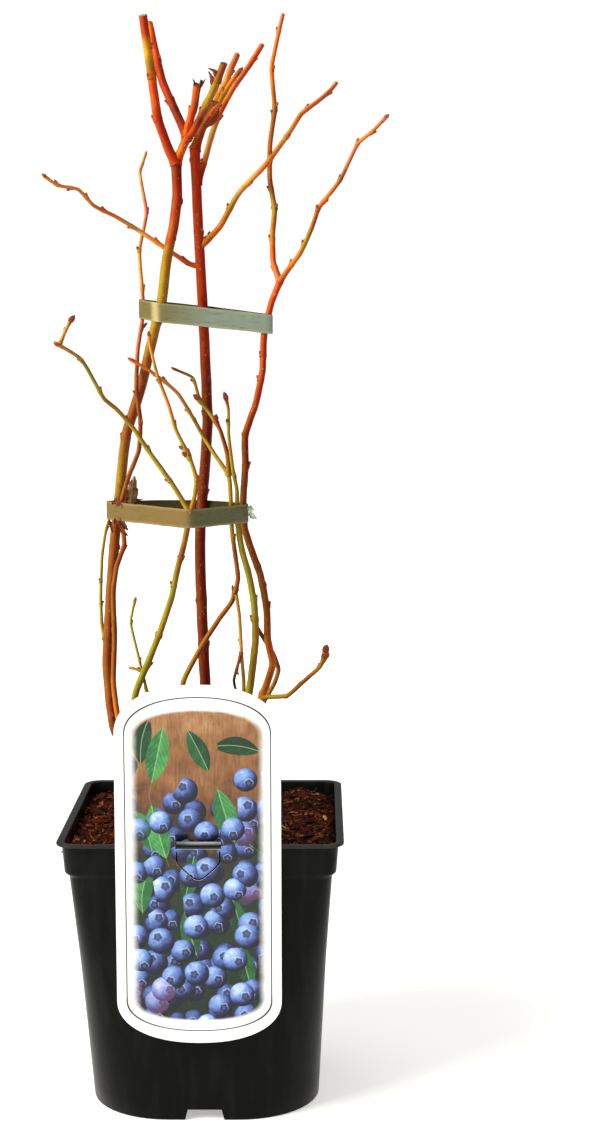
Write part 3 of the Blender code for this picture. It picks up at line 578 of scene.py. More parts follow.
@dataclass(frozen=True)
class TieFinish(Finish):
    """Soft flattened tube: olive to grey-green as painted light and shade, painted shade inside, painted highlights.
    """

    # The two tones and the turn between them along X paint the light on the band's left and right faces.
    warm: Colour
    cool: Colour
    turn: tuple[float, float]
    # Where along X, in millimetres, the painted highlight lies.
    painted_highlight_x: float
    # inner: painted shade on the band's inside; pale: painted highlights.
    inner: Colour = (0.04, 0.028, 0.007)
    dark: Colour = (0.045, 0.036, 0.011)
    pale: Colour = (0.62, 0.52, 0.24)

    def paint(self, graph: Graph) -> None:
        """Paint the tube, which reads the attributes inward and rim of the band.

        Args:
            graph: The material's graph.
        """
        place = graph.place()
        x, _, _ = graph.split(place)
        rim = graph.mark("rim")
        cloud = graph.noise(place, 60)
        long_grain = graph.noise(graph.vector("MULTIPLY", place, (1, 1, 6)), 130, 3, 0.6)
        scuff = graph.noise(place, 420, 3, 0.65)
        # Painted light and shade: one tone on the faces to the left, another on those to the right.
        colour = graph.mix(self.warm, self.cool, (x + (cloud - 0.5) * 0.012).step(*self.turn))
        colour = graph.mix(colour, self.dark, long_grain.step(0.52, 0.75) * 0.4)
        colour = graph.mix(colour, (0.36, 0.42, 0.34), scuff.step(0.5, 0.8) * x.step(*self.turn) * 0.08)
        # Painted highlights: a pale band near each edge, and a pale spot where the band bends round a cane.
        colour = graph.mix(colour, self.pale, rim.step(0.7, 0.92) * 0.14)
        painted_bend_highlight = abs(x - (self.painted_highlight_x * MM + (cloud - 0.5) * 0.004)).step(0.0032, 0.0002)
        colour = graph.mix(colour, self.pale, painted_bend_highlight * 0.5)
        colour = graph.mix(colour, self.dark, rim.step(0.94, 1) * 0.6)
        # Painted shade on the band's inside.
        colour = graph.mix(colour, self.inner, graph.mark("inward").step(0.4, 0.6))
        normal = graph.bump(long_grain + scuff * 0.1, 0.00025, 0.7)
        graph.surface(colour, 0.34 + 0.25 * cloud, 0.1, normal)


@dataclass(frozen=True)
class Card(Finish):
    """White plastic card with a faint surface."""

    name: str = "label_card_fine"
    colour: Colour = (0.86, 0.87, 0.84)

    def paint(self, graph: Graph) -> None:
        """Paint the card.

        Args:
            graph: The material's graph.
        """
        cloud = graph.noise(graph.place(), 70)
        fine = graph.noise(graph.place(), 2200, 2)
        colour = graph.mix(self.colour, (0.74, 0.74, 0.68), cloud.step(0.5, 0.75) * 0.35)
        graph.surface(colour, 0.34 + 0.2 * cloud, 0.4, graph.bump(fine, 0.00002, 0.4))


@dataclass(frozen=True)
class LooseEnd(Finish):
    """Cloudy, stretched tube plastic."""

    name: str = "tie_loose_end"

    def paint(self, graph: Graph) -> None:
        """Paint the end, which reads the attribute along as the distance from the middle.

        Args:
            graph: The material's graph.
        """
        cloud = graph.noise(graph.place(), 380, 3, 0.6)
        colour = graph.ramp(cloud, (0.35, (0.16, 0.2, 0.12)), (0.55, (0.34, 0.38, 0.27)), (0.7, (0.58, 0.6, 0.5)))
        colour = graph.mix(colour, (0.12, 0.13, 0.05), graph.mark("along").step(0.7, 1) * 0.6)
        graph.surface(colour, 0.35, 0.3, graph.bump(cloud, 0.0002))


@dataclass(frozen=True)
class DryLeaf(Finish):
    """A dry leaf scrap: brown, with paler veins."""

    name: str = "dry_leaf"
    shade: Colour = (1, 1, 1)

    def paint(self, graph: Graph) -> None:
        """Paint the leaf, which reads the attribute along as the distance from the midrib.

        Args:
            graph: The material's graph.
        """
        cloud = graph.noise(graph.place(), 420, 4, 0.6)
        colour = graph.ramp(cloud, (0.3, (0.05, 0.02, 0.008)), (0.5, (0.16, 0.075, 0.028)), (0.7, (0.32, 0.17, 0.07)))
        colour = graph.mix(colour, (0.36, 0.22, 0.09), graph.mark("along").step(0.12, 0) * 0.6)
        colour = graph.mix(colour, self.shade, 1, "MULTIPLY")
        graph.surface(colour, 0.75, 0.2, graph.bump(cloud, 0.0004))


@dataclass(frozen=True)
class FloorFinish(Finish):
    """Seamless pale studio floor with the faintest mottling."""

    name: str = "studio_floor"

    def paint(self, graph: Graph) -> None:
        """Paint the floor, which fades into the white surroundings.

        Args:
            graph: The material's graph.
        """
        colour = graph.mix((0.9, 0.89, 0.865), (0.87, 0.865, 0.85), graph.noise(graph.place(), 6, 2))
        away = graph.vector("LENGTH", graph.place(), output=1)
        glow = graph.mix((0.42, 0.41, 0.395), (1, 1, 1), away.step(0.35, 1.3))
        graph.surface(colour, 0.9, 0.1, glow=glow)


class End(Enum):
    """How a limb's far end looks."""

    CUT = "a pruning cut"
    DOME = "closed under a fork"
    TAPER = "tapered under its last bud"
    BROKEN = "broken and dark"
    STUB = "a dead cut, dark all over"


@dataclass(frozen=True)
class Limb:
    """A tapering cane, bough or twig, with its far end, its bark's hues and painted light, and its buds and knots.

    The route is given as (x, y, z) points. A bud is (share of the length, side, length, width): side 1 lies
    clockwise of the limb's direction as seen from the front, and -1 on the other side. A knot is (share, side,
    width).
    """

    name: str
    bark: str
    foot_radius: float
    tip_radius: float
    end: End
    glow: float
    hues: tuple[Hue, ...]
    route: tuple[Spot, ...]
    buds: tuple[tuple[float, int, float, float], ...] = ()
    knots: tuple[tuple[float, int, float], ...] = ()

    @property
    def rooted(self) -> bool:
        """Return whether the limb rises from the potting mix."""
        return self.route[0][2] == FOOT_Z


SOIL_TOP = 147.0
FOOT_Z = SOIL_TOP + 0.3
MASS_SLOTS = {
    "twigs_left_head": "twig_mass_red",
    "twigs_centre_head": "twig_mass_red",
    "twigs_low_green": "twig_mass_olive",
}

D, R, OR, O, Y = Hue.DEEP_RED, Hue.RED, Hue.ORANGE_RED, Hue.ORANGE, Hue.YELLOW
OL, G, T, B, K, P = Hue.OLIVE, Hue.GREEN, Hue.TAN, Hue.BROWN, Hue.DARK, Hue.PINK

# Canes: they rise from the potting mix
CANES = (
    Limb("cane_centre", "dark_red", 3, 2.3, End.DOME, 0.2, (D, D, D, D, D, D, D, R, R, R),
         ((3, 8, FOOT_Z), (2, 10, 180), (-1, 13, 221), (-3.5, 18, 290), (-3, 19, 313), (-0.5, 17, 340),
         (1.5, 13, 367.5), (0, 6, 424.5), (-2, 4, 469.5), (-3.5, 2, 511.5)),
         ((0.27, 1, 2.2, 1.5), (0.5, 1, 2, 1.4), (0.62, -1, 2.4, 1.3), (0.885, 1, 2.6, 1.3)),
         ((0.338, -1, 2.6), (0.985, -1, 2.4))),
    Limb("cane_left", "olive", 2.7, 2.35, End.DOME, 0.2, (OL, B, D, B, B, B, B, OL, B, B, OL, OL, R, D),
         ((-17, 5, FOOT_Z), (-25, 5, 163), (-42, 2, 183), (-50.5, 1, 200), (-54.5, 8, 234), (-53, 12, 266),
         (-50.5, 15, 299), (-47.5, 15, 325), (-42.5, 8, 359.5), (-33.5, -1, 385.5), (-25.5, -9, 415),
         (-21, -12, 431), (-18, -10, 454.5), (-14.5, -8, 471), (-12.5, -6, 487), (-13, -5, 504)),
         ((0.208, 1, 2, 1.4), (0.6, -1, 2, 1.3), (0.78, 1, 2, 1.3)),
         ((0.435, 1, 3), (0.895, 1, 1.6), (0.948, 1, 3.2))),
    Limb("cane_slim", "orange", 1.4, 0.6, End.TAPER, 0.3, (B, O, O, B, B, B, B, B, B, P, T, P, T),
         ((-22, -8, FOOT_Z), (-29, -7, 165), (-43, -5, 190), (-48, -4, 207), (-50.5, 0, 226), (-50, 5, 249),
         (-50.5, 6, 274), (-48.5, 7, 288), (-44.5, 9, 300), (-45.5, 10, 311), (-45.2, 9.5, 325), (-41, 5, 338),
         (-35, -1, 352), (-33.5, -6, 368), (-35, -10, 386), (-34.5, -5, 406), (-32, 3.5, 427), (-34, 8, 459),
         (-30.5, 13, 479), (-34.5, 22, 501), (-31.5, 26, 511.5)),
         ((0.3, -1, 1.8, 1.2), (0.42, 1, 1.8, 1.2), (0.61, 1, 2, 1.2), (0.652, -1, 2.2, 1.2),
         (0.745, 1, 4.6, 1.4), (0.802, 1, 2.4, 1.3), (0.853, -1, 2.6, 1.3), (0.91, 1, 2.4, 1.3),
         (0.985, 1, 2.6, 1.3))),
    Limb("cane_front", "green", 1.9, 1.25, End.DOME, 0.2, (OL, G, G, OL, G, G, OL, G, B, G),
         ((-8, -13, FOOT_Z), (-14, -14, 170), (-29, -20, 203), (-37, -22, 220), (-28, -23, 243.5),
         (-22.5, -24, 257.5), (-16.5, -26, 275), (-12.5, -27, 292.5), (-9, -28, 305), (-5.8, -28.5, 321)),
         ((0.545, 1, 3, 1.3), (0.635, -1, 1.8, 1.2), (0.787, -1, 2.8, 1.2), (0.873, 1, 1.8, 1.2)),
         ((0.635, 1, 1.8), (0.873, -1, 1.6))),
    Limb("cane_right", "red", 1.9, 1.45, End.DOME, 0.45, (B, OL, B, O, B, B, B, D, R, R, OR),
         ((15, 8, FOOT_Z), (19, 8, 172), (26.5, 8, 205), (33, 8, 222), (36.5, 7, 234), (34, 5, 247.5),
         (33.5, 3, 265.5), (30, 2, 284.5), (26, 1, 296), (21.8, 0.5, 310), (21.2, 0, 325), (22.5, 0, 344),
         (22.5, 0, 360), (28.5, -1, 378), (32, -2, 395), (33, -2, 414), (37, -2, 431), (41.5, -2, 442)),
         ((0.415, 1, 2.2, 1.4), (0.487, 1, 2, 1.3), (0.67, 1, 2.6, 1.5), (0.828, -1, 2.2, 1.3),
         (0.87, -1, 2.2, 1.3)),
         ((0.245, -1, 2.6), (0.45, 1, 2.6), (0.725, -1, 1.8))),
    Limb("cane_green_right", "green", 2.3, 1.3, End.DOME, 0.4, (B, OL, OL, G, OL, G, G, G),
         ((9, -2, FOOT_Z), (13, -2, 180), (23.5, -2, 218), (27.5, -4, 249), (27, -5, 268.5), (24, -5, 285.5),
         (20.5, -5, 298.5), (18.6, -4.8, 311), (18.2, -4.8, 320.5)),
         ((0.665, -1, 2.4, 1.5), (0.725, 1, 2.2, 1.4)),
         ((0.4, 1, 2.4), (0.66, -1, 2.2))),
    Limb("cane_crossing", "brown", 1.5, 0.6, End.TAPER, 0.6, (B, B, B, OL, B, B, B, OL, OL, OL, T, O),
         ((-7, 0, FOOT_Z), (-12, 0, 185), (-12.5, 0, 224), (-1.5, 4, 245.5), (8, 0, 260.5), (15, -3, 270.5),
         (18.3, -6, 283), (16.8, -7.5, 297), (15.2, -8, 310.5), (14.8, -8, 325.5), (13.5, -4, 338.5),
         (5.5, 2, 350), (0, 5, 358.5), (-5.5, 2, 369), (-13, -5, 382.5), (-19.5, -10, 389), (-27, -15, 395),
         (-37.5, -18, 401.5)),
         ((0.475, -1, 4.5, 1.4), (0.583, 1, 2, 1.2), (0.845, -1, 2.2, 1.3), (0.925, 1, 2.6, 1.6),
         (0.99, 1, 3.4, 1.5)),
         ((0.482, 1, 2.4), (0.825, 1, 1.6), (0.948, -1, 1.8))),
    Limb("cane_thin_right", "olive", 0.95, 0.7, End.BROKEN, 0.5, (G, G, B, G, T, OL),
         ((4, -10, FOOT_Z), (10, -11, 185), (21, -9, 222), (20, -9, 243), (19, -9.5, 263.5), (17.5, -8.4, 274)),
         ((0.557, 1, 1.6, 1.1), (0.812, -1, 1.8, 1.1))),
    Limb("cane_back_loop", "brown", 1.3, 0.9, End.TAPER, 0.5, (B, OL, OL, B, B),
         ((8, 15, FOOT_Z), (16, 16, 180), (29, 16, 207), (37, 19, 220.5), (39.5, 20, 228.5), (36.5, 16, 238.5),
         (32, 10, 247), (28.3, -1, 255.5)),
         ((0.55, 1, 2, 1.2),),
         ((0.35, -1, 1.6),)),
    Limb("cane_low_right", "orange", 1.25, 0.85, End.TAPER, 0.2, (B, B, B, OL, B, OL),
         ((18, 0, FOOT_Z), (22, -1, 185), (29, -2, 213), (32, -3, 217), (44.5, -8, 219), (52, -14, 226.5),
         (63, -24, 238.5), (66, -28, 248.5)),
         ((0.91, -1, 1.8, 1.2), (0.962, 1, 4.6, 3.3), (0.985, -1, 4.4, 3.1)),
         ((0.672, 1, 1.6), (0.775, -1, 1.6))),
)

# Main boughs: the heads of the canes
BOUGHS = (
    Limb("bough_left_outer", "red", 2.2, 1.95, End.CUT, 0.3, (R, R, R, R, OR, OR, OL, Y, R, R),
         ((-13, -5, 504), (-16.3, -6, 510), (-21.9, -10, 526.5), (-24.6, -15, 548), (-28.2, -22, 577.4)),
         ((0.33, -1, 2.6, 1.5), (0.61, -1, 2.4, 1.4), (0.8, 1, 2.2, 1.3)),
         ((0.62, 1, 1.8),)),
    Limb("bough_left_fork", "red", 1.95, 1.85, End.DOME, 0.5, (OR, O, R),
         ((-13, -5, 504), (-10.5, -4.5, 510), (-7, -4, 517.5))),
    Limb("bough_left_inner", "red", 2, 1.8, End.CUT, 0.15, (OR, R, D, R, R, R, OR, OR, O),
         ((-7, -4, 517.5), (-13, 2, 530.5), (-21, 9, 548.5), (-28.3, 18, 579.2)),
         ((0.34, -1, 2.4, 1.4), (0.7, 1, 2.2, 1.3)),
         ((0.36, 1, 1.8),)),
    Limb("bough_left", "orange", 1.05, 0.55, End.TAPER, 0.8, (OR, O, O, T, T, O, Y, T, Y),
         ((-1.5, 5, 450.5), (-6.5, 4, 451.5), (-16, 0, 457.5), (-34, 1, 469.5), (-45.5, -8, 476.5),
         (-55.5, -16, 481.5), (-63, -22, 489.5), (-73, -28, 491.5), (-79.5, -32, 496)),
         ((0.1, 1, 2.4, 1.4), (0.275, 1, 2.8, 1.5), (0.42, -1, 2.4, 1.4), (0.613, 1, 2.8, 1.5),
         (0.743, 1, 2.8, 1.4), (0.843, -1, 2.6, 1.4), (0.922, 1, 2.8, 1.4), (0.985, 1, 3, 1.5)),
         ((0.07, -1, 1.8),)),
    Limb("bough_right", "orange", 1.4, 0.9, End.CUT, 0.6, (B, O, OL, T, O, T, O, P, P),
         ((-2, 4, 460), (2.5, 4, 464), (9.5, 5, 471.5), (19.5, 7, 489), (34, 8, 504), (47, 14, 522),
         (53, 18, 531.5), (62.5, 22, 539), (68.5, 26, 544.5), (72, 28, 549)),
         ((0.068, -1, 3.2, 1.4), (0.228, -1, 2.4, 1.4), (0.372, 1, 2.2, 1.4), (0.52, -1, 3.2, 1.4),
         (0.638, 1, 2.2, 1.4), (0.81, -1, 2.4, 1.4), (0.93, 1, 2.4, 1.3)),
         ((0.05, -1, 3), (0.64, -1, 1.6))),
    Limb("bough_right_upright", "red", 1.3, 0.8, End.CUT, 0.5, (P, OR, OL, B, O, B, O, O, P),
         ((41.5, -2, 442), (38, 2, 452.5), (37.5, 7, 467), (38.5, 12, 481), (36, 17, 496.5), (36, 22, 515.5),
         (38.5, 26, 535), (37, 29, 557), (41.5, 31, 579), (43, 32, 585.5)),
         ((0.058, -1, 2.2, 1.4), (0.17, -1, 2.4, 1.4), (0.283, 1, 2.4, 1.4), (0.362, -1, 2.2, 1.3),
         (0.465, 1, 2.4, 1.4), (0.638, -1, 2.4, 1.4), (0.665, 1, 2.8, 1.4), (0.802, 1, 2.2, 1.3),
         (0.94, -1, 3, 1.4)),
         ((0.285, -1, 1.8), (0.65, 1, 1.8))),
    Limb("bough_right_spreading", "orange", 1.15, 0.6, End.TAPER, 0.6, (R, O, OL, B, O, B, P, O, P),
         ((41.5, -2, 442), (45, -5, 447), (52.5, -11, 457), (58.5, -17, 469.5), (62.5, -22, 480),
         (73, -30, 493), (82.5, -38, 511.5), (89.5, -41, 517), (96.5, -45, 524)),
         ((0.12, -1, 2.4, 1.4), (0.245, -1, 2.4, 1.4), (0.435, -1, 2.6, 1.4), (0.48, 1, 2.4, 1.4),
         (0.625, -1, 2.4, 1.4), (0.815, -1, 2.6, 1.4), (0.9, 1, 2.4, 1.4), (0.99, 1, 3.4, 1.8))),
    Limb("bough_top_right", "red", 1.4, 1.2, End.CUT, 0.6, (D, OR, T, T, OR, O, P, OR, P),
         ((-2, 3, 494), (1, 8, 505), (5, 15, 520.5), (8.5, 20, 531), (15.5, 26, 545), (25, 32, 559),
         (31.5, 36, 570)),
         ((0.14, -1, 2.2, 1.4), (0.46, 1, 2.4, 1.4), (0.7, -1, 2.4, 1.3), (0.9, 1, 2, 1.2)),
         ((0.45, -1, 2),)),
)

# Single twigs
TWIGS = (
    Limb("twig_left_green", "green", 0.8, 0.5, End.TAPER, 0.5, (B, G, G, G, OL, G),
         ((-54.5, 9, 240), (-58, 14.5, 254.5), (-58.5, 16, 271), (-57.5, 17, 293), (-55, 18.5, 308.5),
         (-52, 19.5, 317)),
         ((0.092, -1, 1.6, 1.1), (0.352, 1, 1.8, 1.1), (0.515, -1, 1.8, 1.1), (0.878, 1, 1.8, 1.1))),
    Limb("twig_over_centre", "olive", 1.05, 0.4, End.TAPER, 0.5, (OL, B, D, B, G, OL, OL, B),
         ((13.5, -4, 338.5), (13, -3.5, 349.5), (9, -1, 363), (3.5, 3, 371.5), (-2, 3, 379), (-5.5, 0, 391),
         (-12, -3, 394.5), (-15.5, -5, 396)),
         ((0.44, 1, 4.6, 2.6), (0.65, -1, 4.4, 2.6), (0.802, -1, 2.4, 1.3), (0.99, 1, 2.4, 1))),
    Limb("twig_tie_right", "olive", 0.85, 0.5, End.TAPER, 0.5, (OL, G, G, OL, G, G, R),
         ((18.2, -4.8, 320.5), (18, -5.5, 331), (16, -7.5, 342), (14, -10, 361), (14, -12, 374.5),
         (13, -15, 381)),
         ((0.3, 1, 1.8, 1.2), (0.78, -1, 2.6, 1.5), (0.98, -1, 5.2, 2.2))),
    Limb("twig_dark_hook", "brown", 0.65, 0.5, End.BROKEN, 0.1, (B, B, K, K),
         ((20, -9, 243), (18, -11.5, 236), (16, -13, 228.5), (17, -12.6, 222.5)),
         ((0.45, -1, 3.2, 1),)),
    Limb("twig_front_left", "green", 1.1, 0.6, End.TAPER, 0.6, (OL, G, G, G, OL, G, G, T),
         ((-5.8, -28.5, 321), (-15.6, -29, 337), (-26.8, -30, 353), (-35.2, -31, 366), (-43.5, -34, 376),
         (-49.5, -37, 381.5), (-57.5, -43, 397.5), (-61, -46, 403), (-72, -52, 410.5)),
         ((0.177, -1, 2.2, 1.3), (0.343, 1, 2.2, 1.3), (0.51, 1, 2.2, 1.3), (0.695, 1, 2.2, 1.3),
         (0.86, -1, 2.2, 1.2), (0.985, -1, 3.4, 1.8))),
    Limb("twig_front_left_tip", "olive", 0.65, 0.5, End.TAPER, 0.5, (OL, T, OL),
         ((-70.5, -51, 409.8), (-69.3, -50, 412.5), (-67.8, -48, 416.5), (-65.5, -46, 421.5)),
         ((0.62, -1, 2, 1.2), (0.98, 1, 4.4, 2.4))),
    Limb("twig_front_right", "green", 0.95, 0.45, End.TAPER, 0.6, (B, OL, OL, G, OL, O, OL, T, O),
         ((-5.8, -28.5, 321), (-3.5, -28.5, 329.5), (-2.5, -28, 339), (-6, -27, 350), (-13, -26, 364.5),
         (-17, -25, 378), (-22.5, -25, 393), (-26, -26, 408), (-26.5, -27, 415)),
         ((0.185, 1, 2.6, 1.6), (0.315, -1, 4, 2.4), (0.335, 1, 3, 1.9), (0.355, -1, 3.4, 2),
         (0.5, 1, 2.2, 1.3), (0.74, -1, 2, 1.2), (0.985, -1, 3, 1.5))),
)

# Twig masses: several shoots from one stem make one piece
TWIG_MASSES = {
    "twigs_left_head": (
        Limb("shoot_short", "red", 1.85, 1.7, End.BROKEN, 0.5, (OR, OR, R, OR),
             ((-7, -4, 517.5), (-6, -8, 523.5), (-2.5, -14, 533), (-1, -18, 541.5)),
             ((0.55, -1, 2.4, 1.4),)),
        Limb("shoot_tall", "olive", 1.75, 1.6, End.STUB, 0.3, (B, R, D, B, OL, OL, B, B),
             ((-7, -4, 517.5), (-3.5, -8, 520.5), (3.5, -16, 532.5), (9.5, -22, 543.5), (13.5, -27, 552.5)),
             ((0.42, -1, 2.2, 1.4), (0.5, 1, 6, 2.6), (0.72, -1, 4.4, 1.4), (0.84, -1, 5, 1.5)),
             ((0.8, 1, 2),)),
        Limb("shoot_dead", "brown", 0.7, 0.4, End.BROKEN, 0.1, (B, B, K),
             ((-2.3, -13.8, 531.5), (-0.5, -17.8, 538), (1.5, -19, 545)),
             ((0.72, -1, 2.6, 1),)),
    ),
    "twigs_centre_head": (
        Limb("shoot_knotted", "red", 2.1, 1.35, End.CUT, 0.4, (R, B, B, B, O, T, P, P),
             ((-3.5, 2, 511.5), (1, 4, 524.5), (7, 9, 535.5), (12, 14, 546.5), (15, 18, 554.5),
             (18.5, 22, 563)),
             ((0.45, 1, 4.2, 2), (0.58, -1, 2.6, 1.5), (0.82, 1, 2.2, 1.3)),
             ((0.29, 1, 7.8), (0.37, 1, 7.6), (0.33, -1, 5.5), (0.55, 1, 2.6))),
        Limb("shoot_olive", "olive", 1.3, 0.85, End.TAPER, 0.5, (D, R, O, OL, O, B),
             ((1, 4, 524.5), (4, -1, 528), (9.5, -6, 534.5), (15, -10, 543), (21, -14, 550.5)),
             ((0.633, -1, 3.4, 1.5), (0.98, 1, 3.8, 1.7))),
    ),
    "twigs_low_green": (
        Limb("shoot_low", "olive", 0.55, 0.45, End.TAPER, 0.5, (G, G, OL, G, G, OL),
             ((-30.5, -21.2, 223.5), (-32, -20.7, 231), (-33.5, -19, 236), (-36, -16, 245.5), (-39.5, -12, 260),
             (-37.5, -8, 271.5)),
             ((0.242, -1, 3, 1), (0.338, 1, 2.6, 1), (0.763, 1, 1.8, 1.1), (0.98, 1, 3.4, 1.5))),
        Limb("shoot_low_side", "olive", 0.5, 0.4, End.TAPER, 0.5, (OL, T),
             ((-33, -19.6, 234.5), (-38.5, -19.5, 236.5)),
             ((0.95, -1, 2, 1.1),)),
    ),
}


def smooth_route(route: tuple[Spot, ...], step: float, suppleness: float = 0.6) -> list[Vector]:
    """Return points on a smooth curve through a route.

    Args:
        route: The points to pass through, which stay among the curve's own.
        step: The distance between the curve's points, about.
        suppleness: How round the curve runs through the route's points.

    Returns:
        The curve's points.
    """
    spots = [Vector(point) for point in route]
    knots = [0]
    for before, after in zip(spots, spots[1:]):
        knots.append(knots[-1] + (after - before).length)
    slopes = []
    for index in range(len(spots)):
        low, high = max(index - 1, 0), min(index + 1, len(spots) - 1)
        slopes.append((spots[high] - spots[low]) / (knots[high] - knots[low]) * suppleness)
    points = []
    for index in range(len(spots) - 1):
        span = knots[index + 1] - knots[index]
        pieces = max(1, round(span / step))
        for piece in range(pieces):
            share = piece / pieces
            square, cube = share ** 2, share ** 3
            points.append(spots[index] * (2 * cube - 3 * square + 1)
                          + slopes[index] * span * (cube - 2 * square + share)
                          + spots[index + 1] * (3 * square - 2 * cube)
                          + slopes[index + 1] * span * (cube - square))
    return points + [spots[-1]]


class Path:
    """A limb's centreline with a frame that doesn't twist."""

    def __init__(self, points: list[Vector]) -> None:
        """Work out the lengths and carry the frame along.

        Args:
            points: The centreline's points.
        """
        self.points = points
        self.lengths = [0]
        for before, after in zip(points, points[1:]):
            self.lengths.append(self.lengths[-1] + (after - before).length)
        self.length = self.lengths[-1]
        self.tangents, self.fronts = [], []
        front = Vector((0, -1, 0))
        for index in range(len(points)):
            tangent = (points[min(index + 1, len(points) - 1)] - points[max(index - 1, 0)]).normalized()
            front = (front - tangent * front.dot(tangent)).normalized()
            self.tangents.append(tangent)
            self.fronts.append(front)

    def index_at(self, share: float) -> int:
        """Return the number of the point nearest to a share of the length."""
        return int(np.argmin(np.abs(np.array(self.lengths) - share * self.length)))

    def side(self, index: int, side: int, turn: float) -> Vector:
        """Return a unit vector out of the limb.

        Args:
            index: The point's number.
            side: 1 for clockwise of the limb's direction as seen from the front, -1 for the other side.
            turn: How far the vector is turned towards the front, in radians.

        Returns:
            The vector.
        """
        tangent = self.tangents[index]
        right = Vector((tangent.z, 0, -tangent.x))
        right = right.normalized() if right.length > 0.05 else Vector((1, 0, 0))
        right = (right - tangent * right.dot(tangent)).normalized()
        return right * side * math.cos(turn) + right.cross(tangent) * math.sin(turn)

    def facing(self, index: int, out: Vector, angles: np.ndarray) -> np.ndarray:
        """Return how much each angle of a ring faces a way out, from -1 to 1."""
        front, tangent = self.fronts[index], self.tangents[index]
        bearing = math.atan2(out.dot(tangent.cross(front)), out.dot(front))
        return np.cos(angles - bearing)[None, :]


# The second attribute is how much each point faces the way of the painted light.
MARKS = {"along": "FLOAT", "sun": "FLOAT", "scar": "FLOAT", "grain": "FLOAT_VECTOR"}


class Growth:
    """The mesh of one piece while its limbs grow ring by ring, with the attributes that the bark reads."""

    def __init__(self) -> None:
        """Start an empty piece."""
        self.layers: dict[str, list[np.ndarray]] = {name: [] for name in ("place", *MARKS)}
        self.faces: list[Iterable[int]] = []
        self.slots: list[int] = []
        self.count = 0

    def add(self, rows: dict[str, np.ndarray]) -> int:
        """Add rings of points.

        Args:
            rows: Their places and attributes by name.

        Returns:
            The number of the first point.
        """
        first = self.count
        for name, values in rows.items():
            self.layers[name].append(values.reshape((-1, 3) if name in ("place", "grain") else -1))
        self.count += rows["along"].size
        return first

    def add_tube(self, tube: "Tube", slot: int) -> None:
        """Add one limb as a closed tube.

        Args:
            tube: The limb's rings.
            slot: The number of its bark's material.
        """
        slots = tube.grow(slot)
        sides = len(tube.angles)
        here = self.add(tube.arrays()) + np.arange(tube.count * sides).reshape(-1, sides)
        after = np.roll(here, -1, axis=1)
        self.faces += np.stack((here[:-1], after[:-1], after[1:], here[1:]), axis=-1).reshape(-1, 4).tolist()
        foot, tip = (self.add(pole) for pole in tube.poles())
        self.faces += [(*pair, foot) for pair in zip(after[0].tolist(), here[0].tolist())]
        self.faces += [(*pair, tip) for pair in zip(here[-1].tolist(), after[-1].tolist())]
        self.slots += np.repeat([*slots, slot, slots[-1]], sides).tolist()

    def piece(self, name: str, finishes: list[bpy.types.Material]) -> bpy.types.Object:
        """Return the piece as an object with its attributes.

        Args:
            name: Its name.
            finishes: Its materials.

        Returns:
            The piece.
        """
        mesh = bpy.data.meshes.new(name)
        mesh.from_pydata((np.concatenate(self.layers["place"]) * MM).tolist(), [], self.faces)
        for mark, kind in MARKS.items():
            store(mesh, mark, np.concatenate(self.layers[mark]).astype(np.float32).ravel(), kind)
        made = linked(name, mesh, finishes)
        mesh.polygons.foreach_set("material_index", self.slots)
        return made


